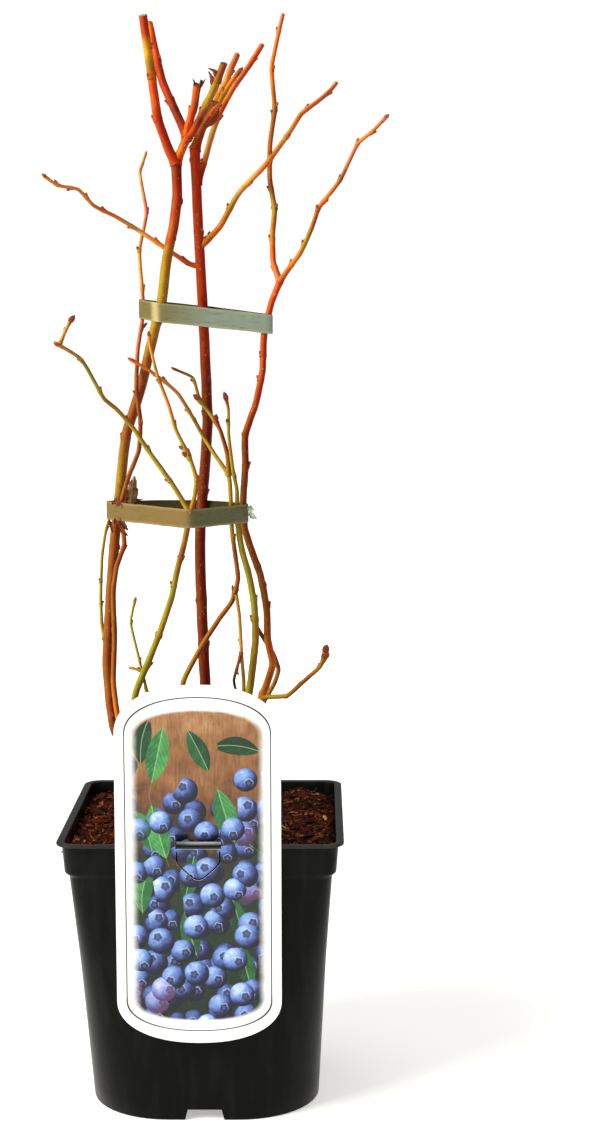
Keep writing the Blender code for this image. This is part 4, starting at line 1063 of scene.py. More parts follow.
@dataclass
class Bush:
    """Every cane, bough and twig with its bark, and the buds on them."""

    ring_step: float = 0.85
    foot_depth: float = 3.0
    flare: float = 0.45
    flare_reach: float = 7.0
    collar: float = 0.55
    collar_reach: float = 2.4
    fork_swell: float = 0.14
    fork_reach: float = 4.0
    relief: float = 0.028
    bark: float = 0.28
    bud_growth: float = 1.2
    gall: float = 5.0
    seed: int = 11
    smooth_angle: float = 50.0
    bud_rows: list[tuple] = field(default_factory=list)
    number: int = 0

    def build(self) -> None:
        """Build each piece and then the buds."""
        cut_wood = CutWood().make()
        for limb in CANES + BOUGHS + TWIGS:
            self.build_piece(limb.name, "bark_" + limb.bark, (limb,), cut_wood)
        for name, shoots in TWIG_MASSES.items():
            self.build_piece(name, MASS_SLOTS[name], shoots, cut_wood)
        self.build_buds()

    def build_piece(self, name: str, slot: str, limbs: tuple[Limb, ...], cut_wood: bpy.types.Material) -> None:
        """Grow one piece from its limbs.

        Args:
            name: The node that the piece stands for.
            slot: The record's slot.
            limbs: Its limbs.
            cut_wood: The material of its pruning cuts.
        """
        growth = Growth()
        finishes = [cut_wood]
        for limb in limbs:
            finishes.append(BarkFinish(f"bark_of_{limb.name}", limb.hues, limb.glow).make())
            self.number += 1
            growth.add_tube(Tube(limb, self.number, self), len(finishes) - 1)
        finished(growth.piece(name + "_bark", finishes), self.smooth_angle, slot, name)

    def build_buds(self) -> None:
        """Set a scaled bud on every noted place, by one Geometry Nodes tree."""
        mesh = bpy.data.meshes.new("bud_places")
        mesh.from_pydata([tuple(row[0] * MM) for row in self.bud_rows], [], [])
        aims = []
        for _, aim, _, _, _, spin in self.bud_rows:
            aims.extend((aim.to_track_quat("Z", "Y").to_matrix() @ Matrix.Rotation(spin, 3, "Z")).to_euler())
        sizes = [part * MM for _, _, long, wide, _, _ in self.bud_rows for part in (wide, wide, long)]
        store(mesh, "aim", aims, "FLOAT_VECTOR")
        store(mesh, "size", sizes, "FLOAT_VECTOR")
        store(mesh, "tint", [row[4] for row in self.bud_rows])
        recipe = Recipe("bud_recipe")
        buds = recipe.copies(recipe.geometry, self.bud_shape(recipe), recipe.named("aim"), recipe.named("size"))
        made = recipe.applied("buds", linked("bud_places", mesh), buds, BudFinish().make())
        finished(made, 70, "bark_red")

    @staticmethod
    def bud_shape(recipe: Recipe) -> Value:
        """Return one bud of unit size: a drop wrapped in overlapping scales.

        Args:
            recipe: The tree that instances it.

        Returns:
            The bud's geometry.
        """
        turns = recipe.size("Scale Spirals", 2.0)
        layers = recipe.size("Scale Layers", 3.5)
        lift = recipe.size("Scale Lift", 0.1)
        ball = {"Segments": 12, "Rings": 15, "Radius": 0.5}
        ball = recipe.node("GeometryNodeMeshUVSphere", None, ball, "Mesh")
        x, y, z = recipe.split(recipe.node("GeometryNodeInputPosition"))
        rise = z + 0.5
        bearing = recipe.maths("ARCTAN2", y, x) * (1 / math.tau)
        saw = (rise * layers + bearing * turns + 4).apply("FRACT")
        swell = 1.22 - 0.42 * rise - rise.step(0.55, 1) * 0.3 + saw * lift * rise.step(1, 0.75)
        shaped = recipe.moved(ball, Position=recipe.joined(x * swell, y * swell, rise - 0.16))
        return recipe.stored(recipe.stored(shaped, "rise", rise, "POINT"), "rim", saw, "POINT")


class Tube:
    """The rings of one limb, with its bark's relief, its scars and its own far end."""

    # The way the bark faces where its painted light is brightest: left, front and up.
    PAINTED_LIGHT_WAY = (-0.86, -0.36, 0.36)

    def __init__(self, limb: Limb, number: int, bush: Bush) -> None:
        """Lay the centreline and work out the relief.

        Args:
            limb: The limb.
            number: Its number, which moves its bark's pattern.
            bush: The plant, which holds the sizes and takes note of the buds.
        """
        self.limb, self.number, self.bush = limb, number, bush
        route = limb.route
        if limb.rooted:
            x, y, z = route[0]
            route = ((x, y, z - bush.foot_depth), (x, y, z + 0.5), *route[1:])
        self.path = Path(smooth_route(route, bush.ring_step))
        self.lengths = np.array(self.path.lengths)
        self.radii = self.bare_radii()
        widest = self.radii.max()
        sides = 22 if widest > 1.7 else 16 if widest > 1 else 12
        self.angles = np.arange(sides) * math.tau / sides
        self.height = np.zeros((len(self.radii), sides))
        self.scar = np.zeros_like(self.height)
        self.draw = random.Random(bush.seed + number * 7)
        self.raise_ribs()
        for share, side, long, wide in limb.buds:
            self.set_bud(share, side, long * bush.bud_growth, wide * bush.bud_growth)
        for share, side, wide in limb.knots:
            self.swell_knot(share, side, wide)

    def bare_radii(self) -> np.ndarray:
        """Return the limb's radius at each point of its path."""
        limb, bush, path = self.limb, self.bush, self.path
        radii = limb.foot_radius + (limb.tip_radius - limb.foot_radius) * self.lengths / path.length + bush.bark
        if limb.rooted:
            above = np.maximum(self.lengths - bush.foot_depth, 0)
            radii *= 1 + bush.flare * np.exp(-above / bush.flare_reach)
        else:
            radii *= 1 + bush.collar * np.exp(-self.lengths / bush.collar_reach)
        if limb.end is End.DOME:
            radii *= 1 + bush.fork_swell * np.exp(-(path.length - self.lengths) / bush.fork_reach)
        return radii

    def raise_ribs(self) -> None:
        """Raise the bark's ribs, and the ridges of a rooted foot."""
        radii, lengths, angles, draw = self.radii[:, None], self.lengths[:, None], self.angles[None, :], self.draw
        for ribs in (1, 2, 3, 5):
            for _ in range(2):
                wave, phase = draw.uniform(0.12, 0.9) / ribs ** 0.3, draw.uniform(0, math.tau)
                self.height += np.sin(ribs * angles + wave * lengths * draw.choice((-1, 1)) + phase) / ribs ** 0.6
        self.height *= self.bush.relief * radii / 2.2
        if self.limb.rooted:
            above = np.maximum(lengths - self.bush.foot_depth, 0)
            ridge = np.cos(5 * angles + draw.uniform(0, math.tau) + 0.05 * lengths)
            self.height += 0.16 * radii * ridge * np.exp(-above / 4)

    def set_bud(self, share: float, side: int, long: float, wide: float) -> None:
        """Swell the bark under a bud, mark its leaf scar and note the bud.

        Args:
            share: The share of the limb's length.
            side: The side.
            long: The bud's length.
            wide: Its width.
        """
        path, draw = self.path, self.draw
        index = path.index_at(share)
        tangent = path.tangents[index]
        at_tip = share > 0.965
        out = path.side(index, side, draw.uniform(-0.7, 0.9))
        lean = draw.uniform(0.05, 0.25) if at_tip else draw.uniform(0.45, 0.75)
        aim = (tangent * math.cos(lean) + out * math.sin(lean)).normalized()
        root = path.points[index] + out * (0 if at_tip else max(self.radii[index] - 0.3 * wide, 0))
        tint = min(max(draw.gauss(0.42, 0.2), 0), 1) * (0.4 if long > 4.5 else 1)
        self.bush.bud_rows.append((root, aim, long, wide, tint, draw.uniform(0, math.tau)))
        away = self.lengths[:, None] - path.lengths[index]
        facing = path.facing(index, out, self.angles)
        swell = 0.3 * wide * np.exp(-((away + 0.5) / (0.75 * wide)) ** 2)
        self.height += swell * (0.3 + 0.7 * np.clip(facing, 0, 1) ** 1.5) * (0.5 if at_tip else 1)
        band = np.exp(-((away + 0.72 * wide) / 0.42) ** 2)
        self.scar += band * np.clip(facing * 1.3 - 0.15, 0, 1)
        self.scar += 0.35 * np.exp(-((away + 0.9 * wide) / 0.3) ** 2)

    def swell_knot(self, share: float, side: int, wide: float) -> None:
        """Swell the bark into a knot with a dark middle, or into a smooth gall where it is wide.

        Args:
            share: The share of the limb's length.
            side: The side.
            wide: The knot's width.
        """
        index = self.path.index_at(share)
        out = self.path.side(index, side, self.draw.uniform(-0.3, 0.6))
        away = self.lengths[:, None] - self.path.lengths[index]
        facing = np.clip(self.path.facing(index, out, self.angles), 0, 1)
        bell = np.exp(-(away / (0.42 * wide)) ** 2)
        self.height += 0.3 * wide * bell * facing ** 2 + 0.05 * wide * bell
        if wide <= self.bush.gall:
            crater = np.exp(-(away / (0.2 * wide)) ** 2) * np.clip(facing * 2.2 - 1.2, 0, 1)
            self.height -= 0.14 * wide * crater
            self.scar += 1.2 * crater + 0.3 * np.exp(-((away + 0.4 * wide) / 0.35) ** 2)

    def grow(self, slot: int) -> list[int]:
        """Turn the centreline and the relief into rings, with those of the far end.

        Args:
            slot: The number of the bark's material.

        Returns:
            The material of each band.
        """
        path = self.path
        radii = self.radii[:, None] + self.height
        centres, fronts, tangents = (np.array([tuple(one) for one in row])
                                     for row in (path.points, path.fronts, path.tangents))
        self.out = (fronts[:, None, :] * np.cos(self.angles)[None, :, None]
                    + np.cross(tangents, fronts)[:, None, :] * np.sin(self.angles)[None, :, None])
        self.rows = {
            "place": [centres[:, None, :] + self.out * radii[:, :, None]],
            "along": [np.repeat(self.lengths[:, None] / path.length, len(self.angles), axis=1)],
            # How much each point faces the way of the painted light.
            "sun": [self.out @ np.array(tuple(Vector(self.PAINTED_LIGHT_WAY)))],
            "scar": [self.scar],
            "grain": [self.bark_space(self.lengths[:, None], radii)],
        }
        self.tip_radius, self.tip_centre, self.tangent = radii[-1], centres[-1], tangents[-1]
        self.count = len(path.points)
        self.tip_offset = self.tip_scar = 0
        return [slot] * (self.count - 1) + self.finish_end(slot)

    def bark_space(self, lengths: np.ndarray, radii: np.ndarray) -> np.ndarray:
        """Return points in the bark's own space: across, across and along, in metres."""
        shift = self.number * 0.37
        across, over = radii * np.cos(self.angles), radii * np.sin(self.angles)
        along = np.broadcast_to(lengths, radii.shape)
        return np.stack((across + shift * 10, over, along + shift * 100), axis=-1) * MM

    def add_ring(self, offset: Any, factor: float, along: float = 1.0, scar: float = 0.0) -> None:
        """Add a ring past the end.

        Args:
            offset: How far past the end it lies.
            factor: Its radius over the end's.
            along: What the attribute along says there.
            scar: How scarred it is.
        """
        radii = (self.tip_radius * factor)[None, :]
        offset = np.broadcast_to(np.asarray(offset, float), self.angles.shape)[None, :]
        ring = {
            "place": self.tip_centre + self.out[-1][None] * radii[:, :, None] + self.tangent * offset[:, :, None],
            "along": np.full(radii.shape, along),
            "sun": self.rows["sun"][0][-1:] * 0.6 + 0.1,
            "scar": np.full(radii.shape, scar),
            "grain": self.bark_space(self.path.length + offset, radii),
        }
        for name, values in ring.items():
            self.rows[name].append(values)
        self.count += 1

    def finish_end(self, slot: int) -> list[int]:
        """Add the rings of the far end.

        Args:
            slot: The bark's material.

        Returns:
            The material of each new band.
        """
        end, radius = self.limb.end, float(self.tip_radius.mean())
        draw = random.Random(self.bush.seed * 3 + self.number)
        bearing = draw.uniform(0, math.tau)
        if end in (End.CUT, End.STUB):
            dead = end is End.STUB
            slope = 0.14 * radius * (1 + np.cos(self.angles - bearing))
            self.add_ring(slope, 1, scar=0.2)
            self.add_ring(slope + 0.1 * radius, 0.93, scar=0.6)
            for factor in (0.9, 0.62, 0.3):
                tilt = 0.14 * radius * (1 + factor * np.cos(self.angles - bearing))
                self.add_ring(tilt + 0.04 * radius, factor, 1 if dead else factor, 1.3 if dead else 0)
            self.tip_offset, self.tip_scar = 0.12 * radius, float(dead)
            return [slot] * 2 + [slot if dead else 0] * 3
        if end is End.DOME:
            for step in range(1, 6):
                angle = math.pi / 2 * step / 6
                self.add_ring(0.8 * radius * math.sin(angle), math.cos(angle))
            self.tip_offset = 0.8 * radius
            return [slot] * 5
        if end is End.TAPER:
            for step in range(1, 5):
                share = step / 5
                self.add_ring(2 * radius * share, 1 - 0.8 * share ** 1.4)
            self.tip_offset = 1.9 * radius
            return [slot] * 4
        jag = np.array([draw.uniform(0, 1.6) for _ in self.angles]) * radius
        jag = (jag + np.roll(jag, 1)) / 2
        for offset, factor in ((jag, 0.97), (jag * 0.7, 0.72), (jag * 0.2 - 0.2 * radius, 0.4)):
            self.add_ring(offset, factor, scar=1)
        self.tip_offset, self.tip_scar = -0.3 * radius, 1
        return [slot] * 3

    def arrays(self) -> dict[str, np.ndarray]:
        """Return the rings and their attributes as whole arrays."""
        return {name: np.concatenate(parts) for name, parts in self.rows.items()}

    def poles(self) -> tuple[dict[str, np.ndarray], dict[str, np.ndarray]]:
        """Return the points that close the foot and the far end, with their attributes."""
        tip = self.tip_centre + self.tangent * self.tip_offset
        at_rim = 0 if self.rows["along"][-1][0, 0] < 0.5 else 1
        return self.pole(tuple(self.path.points[0]), 0, 0), self.pole(tip, at_rim, self.tip_scar)

    def pole(self, place: Any, along: float, scar: float) -> dict[str, np.ndarray]:
        """Return one closing point with its attributes."""
        one, shift = np.ones((1, 1)), self.number * 0.37
        grain = np.array([[[shift * 10, 0, shift * 100 + self.path.length * along]]]) * MM
        return {"place": np.array([[place]], float), "along": one * along, "sun": one * 0.1, "scar": one * scar,
                "grain": grain}


@dataclass(frozen=True)
class SquareRing:
    """A level square with round corners."""

    z: float
    half: float
    corner: float

    def points(self, corner_steps: int, side_steps: int) -> list[Vector]:
        """Return its points counter-clockwise from above.

        Args:
            corner_steps: The steps round each corner.
            side_steps: The steps along each straight side.

        Returns:
            The points, in millimetres.
        """
        corner = min(self.corner, self.half * 0.999)
        middle = self.half - corner
        quarter = []
        for step in range(corner_steps + 1):
            angle = math.pi / 2 * step / corner_steps
            quarter.append((middle + corner * math.cos(angle), middle + corner * math.sin(angle)))
        for step in range(1, side_steps):
            quarter.append((middle - 2 * middle * step / side_steps, self.half))
        points = []
        for turn in range(4):
            cos, sin = round(math.cos(math.pi / 2 * turn)), round(math.sin(math.pi / 2 * turn))
            points += [Vector((x * cos - y * sin, x * sin + y * cos, self.z)) for x, y in quarter]
        return points


def skin(rings: list[list[Vector]], open_ends: bool = False) -> bmesh.types.BMesh:
    """Return a bmesh of rings joined one above the other.

    Args:
        rings: Rings of equal length in millimetres, counter-clockwise, from the foot up.
        open_ends: Whether the first and the last ring stay open.

    Returns:
        The bmesh, in metres.
    """
    bm = bmesh.new()
    rows = [[bm.verts.new(point * MM) for point in ring] for ring in rings]
    for low, high in zip(rows, rows[1:]):
        for index in range(len(low)):
            after = (index + 1) % len(low)
            bm.faces.new((low[index], low[after], high[after], high[index]))
    if not open_ends:
        bm.faces.new(rows[0][::-1])
        bm.faces.new(rows[-1])
    return bm


def from_bmesh(name: str, bm: bmesh.types.BMesh, finishes: Iterable[bpy.types.Material] = (),
               recalculate: bool = True) -> bpy.types.Object:
    """Return a new object made from a bmesh.

    Args:
        name: The object's name.
        bm: The bmesh, which is freed.
        finishes: Its materials.
        recalculate: Whether its normals are turned outwards first.

    Returns:
        The object.
    """
    if recalculate:
        bmesh.ops.recalc_face_normals(bm, faces=bm.faces)
    mesh = bpy.data.meshes.new(name)
    bm.to_mesh(mesh)
    bm.free()
    return linked(name, mesh, finishes)


@dataclass
class Container:
    """The square nursery pot: its corners grow rounder towards the foot."""

    height: float = 153.0
    lip_half: float = 75.0
    lip_corner: float = 10.0
    lip_under: float = 151.6
    collar_top: float = 72.1
    collar_foot: float = 71.0
    collar_foot_z: float = 136.5
    collar_corner: float = 8.0
    body_top_z: float = 134.0
    body_top: float = 68.8
    body_mid_z: float = 83.5
    body_mid: float = 65.5
    body_foot: float = 61.6
    foot_corner: float = 43.0
    wall: float = 1.3
    floor_z: float = 8.0
    drain_width: float = 24.0
    drain_height: float = 6.0
    drain_reach: float = 34.0
    drain_taper: float = 0.75
    drain_offset: float = 1.0
    corner_steps: int = 12
    side_steps: int = 6
    body_rings: int = 14
    smooth_angle: float = 35.0

    def half_at(self, z: float) -> float:
        """Return the body's half width at a height.

        Args:
            z: The height.

        Returns:
            The half width.
        """
        if z < self.body_mid_z:
            return self.body_foot + (self.body_mid - self.body_foot) * z / self.body_mid_z
        share = (z - self.body_mid_z) / (self.body_top_z - self.body_mid_z)
        return self.body_mid + (self.body_top - self.body_mid) * share

    def corner_at(self, z: float) -> float:
        """Return the body's corner radius at a height."""
        return self.foot_corner + (self.collar_corner - self.foot_corner) * z / self.body_top_z

    def outside(self) -> list[SquareRing]:
        """Return the rings from the foot's rounded edge up to the outer edge of the lip."""
        rings = [SquareRing(z, self.body_foot - inset, self.foot_corner - inset)
                 for z, inset in ((0, 0.9), (0.25, 0.3))]
        for step in range(self.body_rings + 1):
            z = 0.9 + (self.body_top_z - 0.5 - 0.9) * step / self.body_rings
            rings.append(SquareRing(z, self.half_at(z), self.corner_at(z)))
        foot, top = self.collar_foot, self.collar_top
        for z, half in ((self.body_top_z, self.body_top + 0.1), (self.body_top_z + 0.6, self.body_top + 0.6),
                        (self.collar_foot_z - 0.5, foot - 0.4), (self.collar_foot_z, foot - 0.1),
                        (self.collar_foot_z + 0.5, foot + 0.03), (144, (foot + top) / 2),
                        (self.lip_under - 0.7, top), (self.lip_under - 0.15, top + 0.2),
                        (self.lip_under, top + 0.7)):
            rings.append(SquareRing(z, half, self.collar_corner + max(half - top, 0)))
        for z, inset in ((self.lip_under, 0.35), (self.lip_under + 0.12, 0.1), (self.lip_under + 0.4, 0),
                         (self.height - 0.45, 0), (self.height - 0.15, 0.12), (self.height, 0.45)):
            rings.append(SquareRing(z, self.lip_half - inset, self.lip_corner - inset))
        return rings

    def inside(self, inset: float) -> list[SquareRing]:
        """Return the rings of the inner wall from the lip down to the floor.

        Args:
            inset: How far they are moved inwards.

        Returns:
            The rings.
        """
        rows = [(self.height, self.collar_top + 0.5, self.collar_corner + 0.5),
                (self.height - 0.2, self.collar_top + 0.12, self.collar_corner),
                (self.height - 0.7, self.collar_top, self.collar_corner),
                (self.collar_foot_z, self.collar_foot, self.collar_corner)]
        rows += [(z, self.half_at(z), self.corner_at(z)) for z in (self.body_top_z, self.body_mid_z, self.floor_z)]
        return [SquareRing(z, half - inset, corner - inset) for z, half, corner in rows]

    def build(self) -> None:
        """Build the pot with the drain channels under its floor."""
        rings = [ring.points(self.corner_steps, self.side_steps) for ring in self.outside() + self.inside(self.wall)]
        plastics = [BlackPlastic().make(), BlackPlastic("black_plastic_lip", 0.3).make()]
        pot = from_bmesh("pot_shell", skin(rings), plastics)
        for quarter in range(4):
            pot = carve(pot, self.drain(quarter))
        for face in pot.data.polygons:
            face.material_index = int(face.center.z > (self.lip_under - 0.2) * MM)
        finished(pot, self.smooth_angle, "black_plastic", "pot")

    def drain(self, quarter: int) -> bpy.types.Object:
        """Return a cutter with slanted sides that opens one side of the foot.

        Args:
            quarter: The side, counted from the front.

        Returns:
            The cutter.
        """
        bm = bmesh.new()
        bmesh.ops.create_cube(bm, size=1)
        turn = Matrix.Rotation(math.pi / 2 * quarter, 3, "Z")
        for vertex in bm.verts:
            width = self.drain_width * (self.drain_taper if vertex.co.z > 0 else 1)
            x = vertex.co.x * width + self.drain_offset
            y = -self.body_foot + vertex.co.y * self.drain_reach * 2
            vertex.co = turn @ Vector((x, y, vertex.co.z * self.drain_height * 2)) * MM
        return from_bmesh(f"drain_{quarter}", bm)


class Shape(Enum):
    """The litter that lies on the potting mix."""

    CHIP = "a flat bark chip"
    CRUMB = "a round crumb"
    FIBRE = "a bent fibre"


@dataclass(frozen=True)
class Litter:
    """One kind of litter: how much, how large and which colours."""

    name: str
    shape: Shape
    density: float
    smallest: float
    largest: float
    seed: int
    finish: LitterFinish
    lift: float = 0.2
    tilt: float = 0.5
    smooth_angle: float = 60.0


LITTER = (
    Litter("soil_chips", Shape.CHIP, 52000.0, 1.8, 7.0, 3, LitterFinish("bark_chips", (
        (0, (0.014, 0.003, 0.0015)), (0.45, (0.036, 0.006, 0.0025)), (0.72, (0.08, 0.014, 0.004)),
        (0.88, (0.15, 0.034, 0.009)), (0.96, (0.3, 0.09, 0.02)), (1, (0.46, 0.2, 0.06)))), 0.4, 0.6, 30),
    Litter("soil_crumbs", Shape.CRUMB, 260000.0, 0.8, 2.3, 5, LitterFinish("peat_crumbs", (
        (0, (0.01, 0.0025, 0.001)), (0.5, (0.032, 0.006, 0.002)), (0.88, (0.08, 0.016, 0.005)),
        (1, (0.38, 0.15, 0.04))), 0.85)),
    Litter("soil_fibres", Shape.FIBRE, 15000.0, 4.0, 12.0, 8, LitterFinish("peat_fibres", (
        (0, (0.06, 0.014, 0.005)), (0.5, (0.16, 0.048, 0.015)), (0.8, (0.36, 0.17, 0.06)),
        (1, (0.42, 0.34, 0.12)))), 0.8, 0.35),
)


@dataclass
class Ground:
    """The potting mix in the pot, and the chips, crumbs and fibres that lie on it."""

    pot: Container
    top: float = SOIL_TOP
    edge: float = 145.0
    clear: float = 1.6
    flat_radius: float = 26.0
    fade: float = 12.0
    lump: float = 1.6
    wave: float = 0.19
    ring_count: int = 58
    corner_steps: int = 14
    side_steps: int = 20
    roughness: float = 1.3
    edge_dip: float = 5.0
    smooth_angle: float = 60.0

    def height_at(self, x: float, y: float) -> float:
        """Return the height of the mix: flat round the canes' feet, lumpy beyond, rough all over.

        Args:
            x: The place along X.
            y: The place along Y.

        Returns:
            The height.
        """
        lumpy = min(max((math.hypot(x, y) - self.flat_radius) / self.fade, 0), 1)
        wave = self.wave
        lump = math.sin(wave * x + 1.3) * math.cos(wave * 1.3 * y) + 0.5 * math.sin(wave * 2.1 * (x + y))
        spot = Vector((x, y, 3))
        rough = noise.fractal(spot * 0.16, 0.9, 2.1, 5) + 0.35 * noise.fractal(spot * 0.7, 0.8, 2, 3)
        return self.top + self.lump * lumpy * lump + self.roughness * rough * (0.45 + 0.55 * lumpy)

    def top_rings(self) -> list[list[Vector]]:
        """Return the rings of the top, from the wall to the middle."""
        pot = self.pot
        share = (self.edge - pot.collar_foot_z) / (pot.height - pot.collar_foot_z)
        half = pot.collar_foot + (pot.collar_top - pot.collar_foot) * share - self.clear
        corner = pot.collar_corner - self.clear
        rings = []
        for step in range(self.ring_count):
            share = 1 - step / self.ring_count
            ring = SquareRing(self.edge, half * share, corner * share + 22 * (1 - share) * share)
            points = ring.points(self.corner_steps, self.side_steps)
            dip = max(1 - (half - half * share) / self.edge_dip, 0) ** 2
            for point in points:
                point.z = self.height_at(point.x, point.y) * (1 - dip) + self.edge * dip
            rings.append(points)
        return rings

    def build(self) -> None:
        """Build the mix and scatter the litter."""
        rings = []
        for ring in self.pot.inside(self.clear)[:2:-1]:
            raised = SquareRing(max(ring.z, self.pot.floor_z + 0.3), ring.half, ring.corner)
            rings.append(raised.points(self.corner_steps, self.side_steps))
        top = self.top_rings()
        mix = from_bmesh("potting_mix_lumps", skin(rings + top), [PottingMix().make()], False)
        finished(mix, self.smooth_angle, "potting_mix", "potting_mix")
        for kind in LITTER:
            self.scatter(kind, from_bmesh("bed", skin(top, True), (), False))

    def scatter(self, kind: Litter, bed: bpy.types.Object) -> None:
        """Scatter one kind of litter over the mix.

        Args:
            kind: The litter.
            bed: The top of the mix.
        """
        recipe = Recipe(f"{kind.name}_recipe")
        density = recipe.size("Density", kind.density)
        smallest, largest = recipe.size("Smallest", kind.smallest * MM), recipe.size("Largest", kind.largest * MM)
        lift, tilt = recipe.size("Lift", kind.lift * MM), recipe.size("Tilt", kind.tilt)
        seed = recipe.size("Seed", kind.seed)
        inputs = {"Mesh": recipe.geometry, "Density": density, "Seed": seed}
        spots = recipe.node("GeometryNodeDistributePointsOnFaces", {"distribute_method": "RANDOM"}, inputs)
        spots = recipe.moved(spots, Offset=recipe.joined(0, 0, lift))
        turn = recipe.joined(recipe.chance(tilt * -1, tilt, seed, 1), recipe.chance(tilt * -1, tilt, seed, 2),
                             recipe.chance(0, math.tau, seed, 3))
        size = smallest + (largest - smallest) * recipe.chance(0, 1, seed, 4) ** 2.2
        width, height = recipe.chance(0.45, 1, seed, 5), recipe.chance(0.6, 1.3, seed, 6)
        scale = recipe.joined(size, size * width, size * height)
        pieces = recipe.copies(spots, self.shape(recipe, kind.shape), turn, scale)
        pieces = recipe.stored(pieces, "tint", recipe.chance(0, 1, seed, 7))
        finished(recipe.applied(kind.name, bed, pieces, kind.finish.make()), kind.smooth_angle, "potting_mix")

    @staticmethod
    def shape(recipe: Recipe, shape: Shape) -> Value:
        """Return one piece of litter about one unit long, of a few dozen faces.

        Args:
            recipe: The tree that instances it.
            shape: The kind of piece.

        Returns:
            The piece's geometry.
        """
        if shape is Shape.FIBRE:
            bend = {"Resolution": 8, "Radius": 0.55, "Start Angle": 0.4, "Sweep Angle": 1.9}
            bend = recipe.node("GeometryNodeCurveArc", {"mode": "RADIUS"}, bend, "Curve")
            wide = recipe.node("GeometryNodeCurvePrimitiveCircle", {"mode": "RADIUS"},
                               {"Resolution": 4, "Radius": 0.026}, "Curve")
            inputs = {"Curve": bend, "Profile Curve": wide, "Fill Caps": True}
            return recipe.node("GeometryNodeCurveToMesh", None, inputs)
        level = 2 if shape is Shape.CHIP else 1
        ball = recipe.node("GeometryNodeMeshIcoSphere", None, {"Radius": 0.5, "Subdivisions": level}, "Mesh")
        place = recipe.node("GeometryNodeInputPosition")
        rough = recipe.noise(place, 2.3, 2, 0.6)
        x, y, z = recipe.split(place)
        if shape is Shape.CHIP:
            long, wide, thin = x * (0.7 + rough * 0.7), y * (0.45 + rough * 0.5), z * (rough * 0.5)
        else:
            long, wide, thin = x * (0.5 + rough), y * (0.5 + rough), z * (0.45 + rough * 0.8)
        return recipe.moved(ball, Position=recipe.joined(long, wide, thin))


@dataclass(frozen=True)
class Layer:
    """One layer of the print: round fruits or leaves, one to a cell."""

    spacing: float
    size: float
    jitter: float
    shift: tuple[float, float]
    share: float
    shade: float
    thinning: float = 0.62


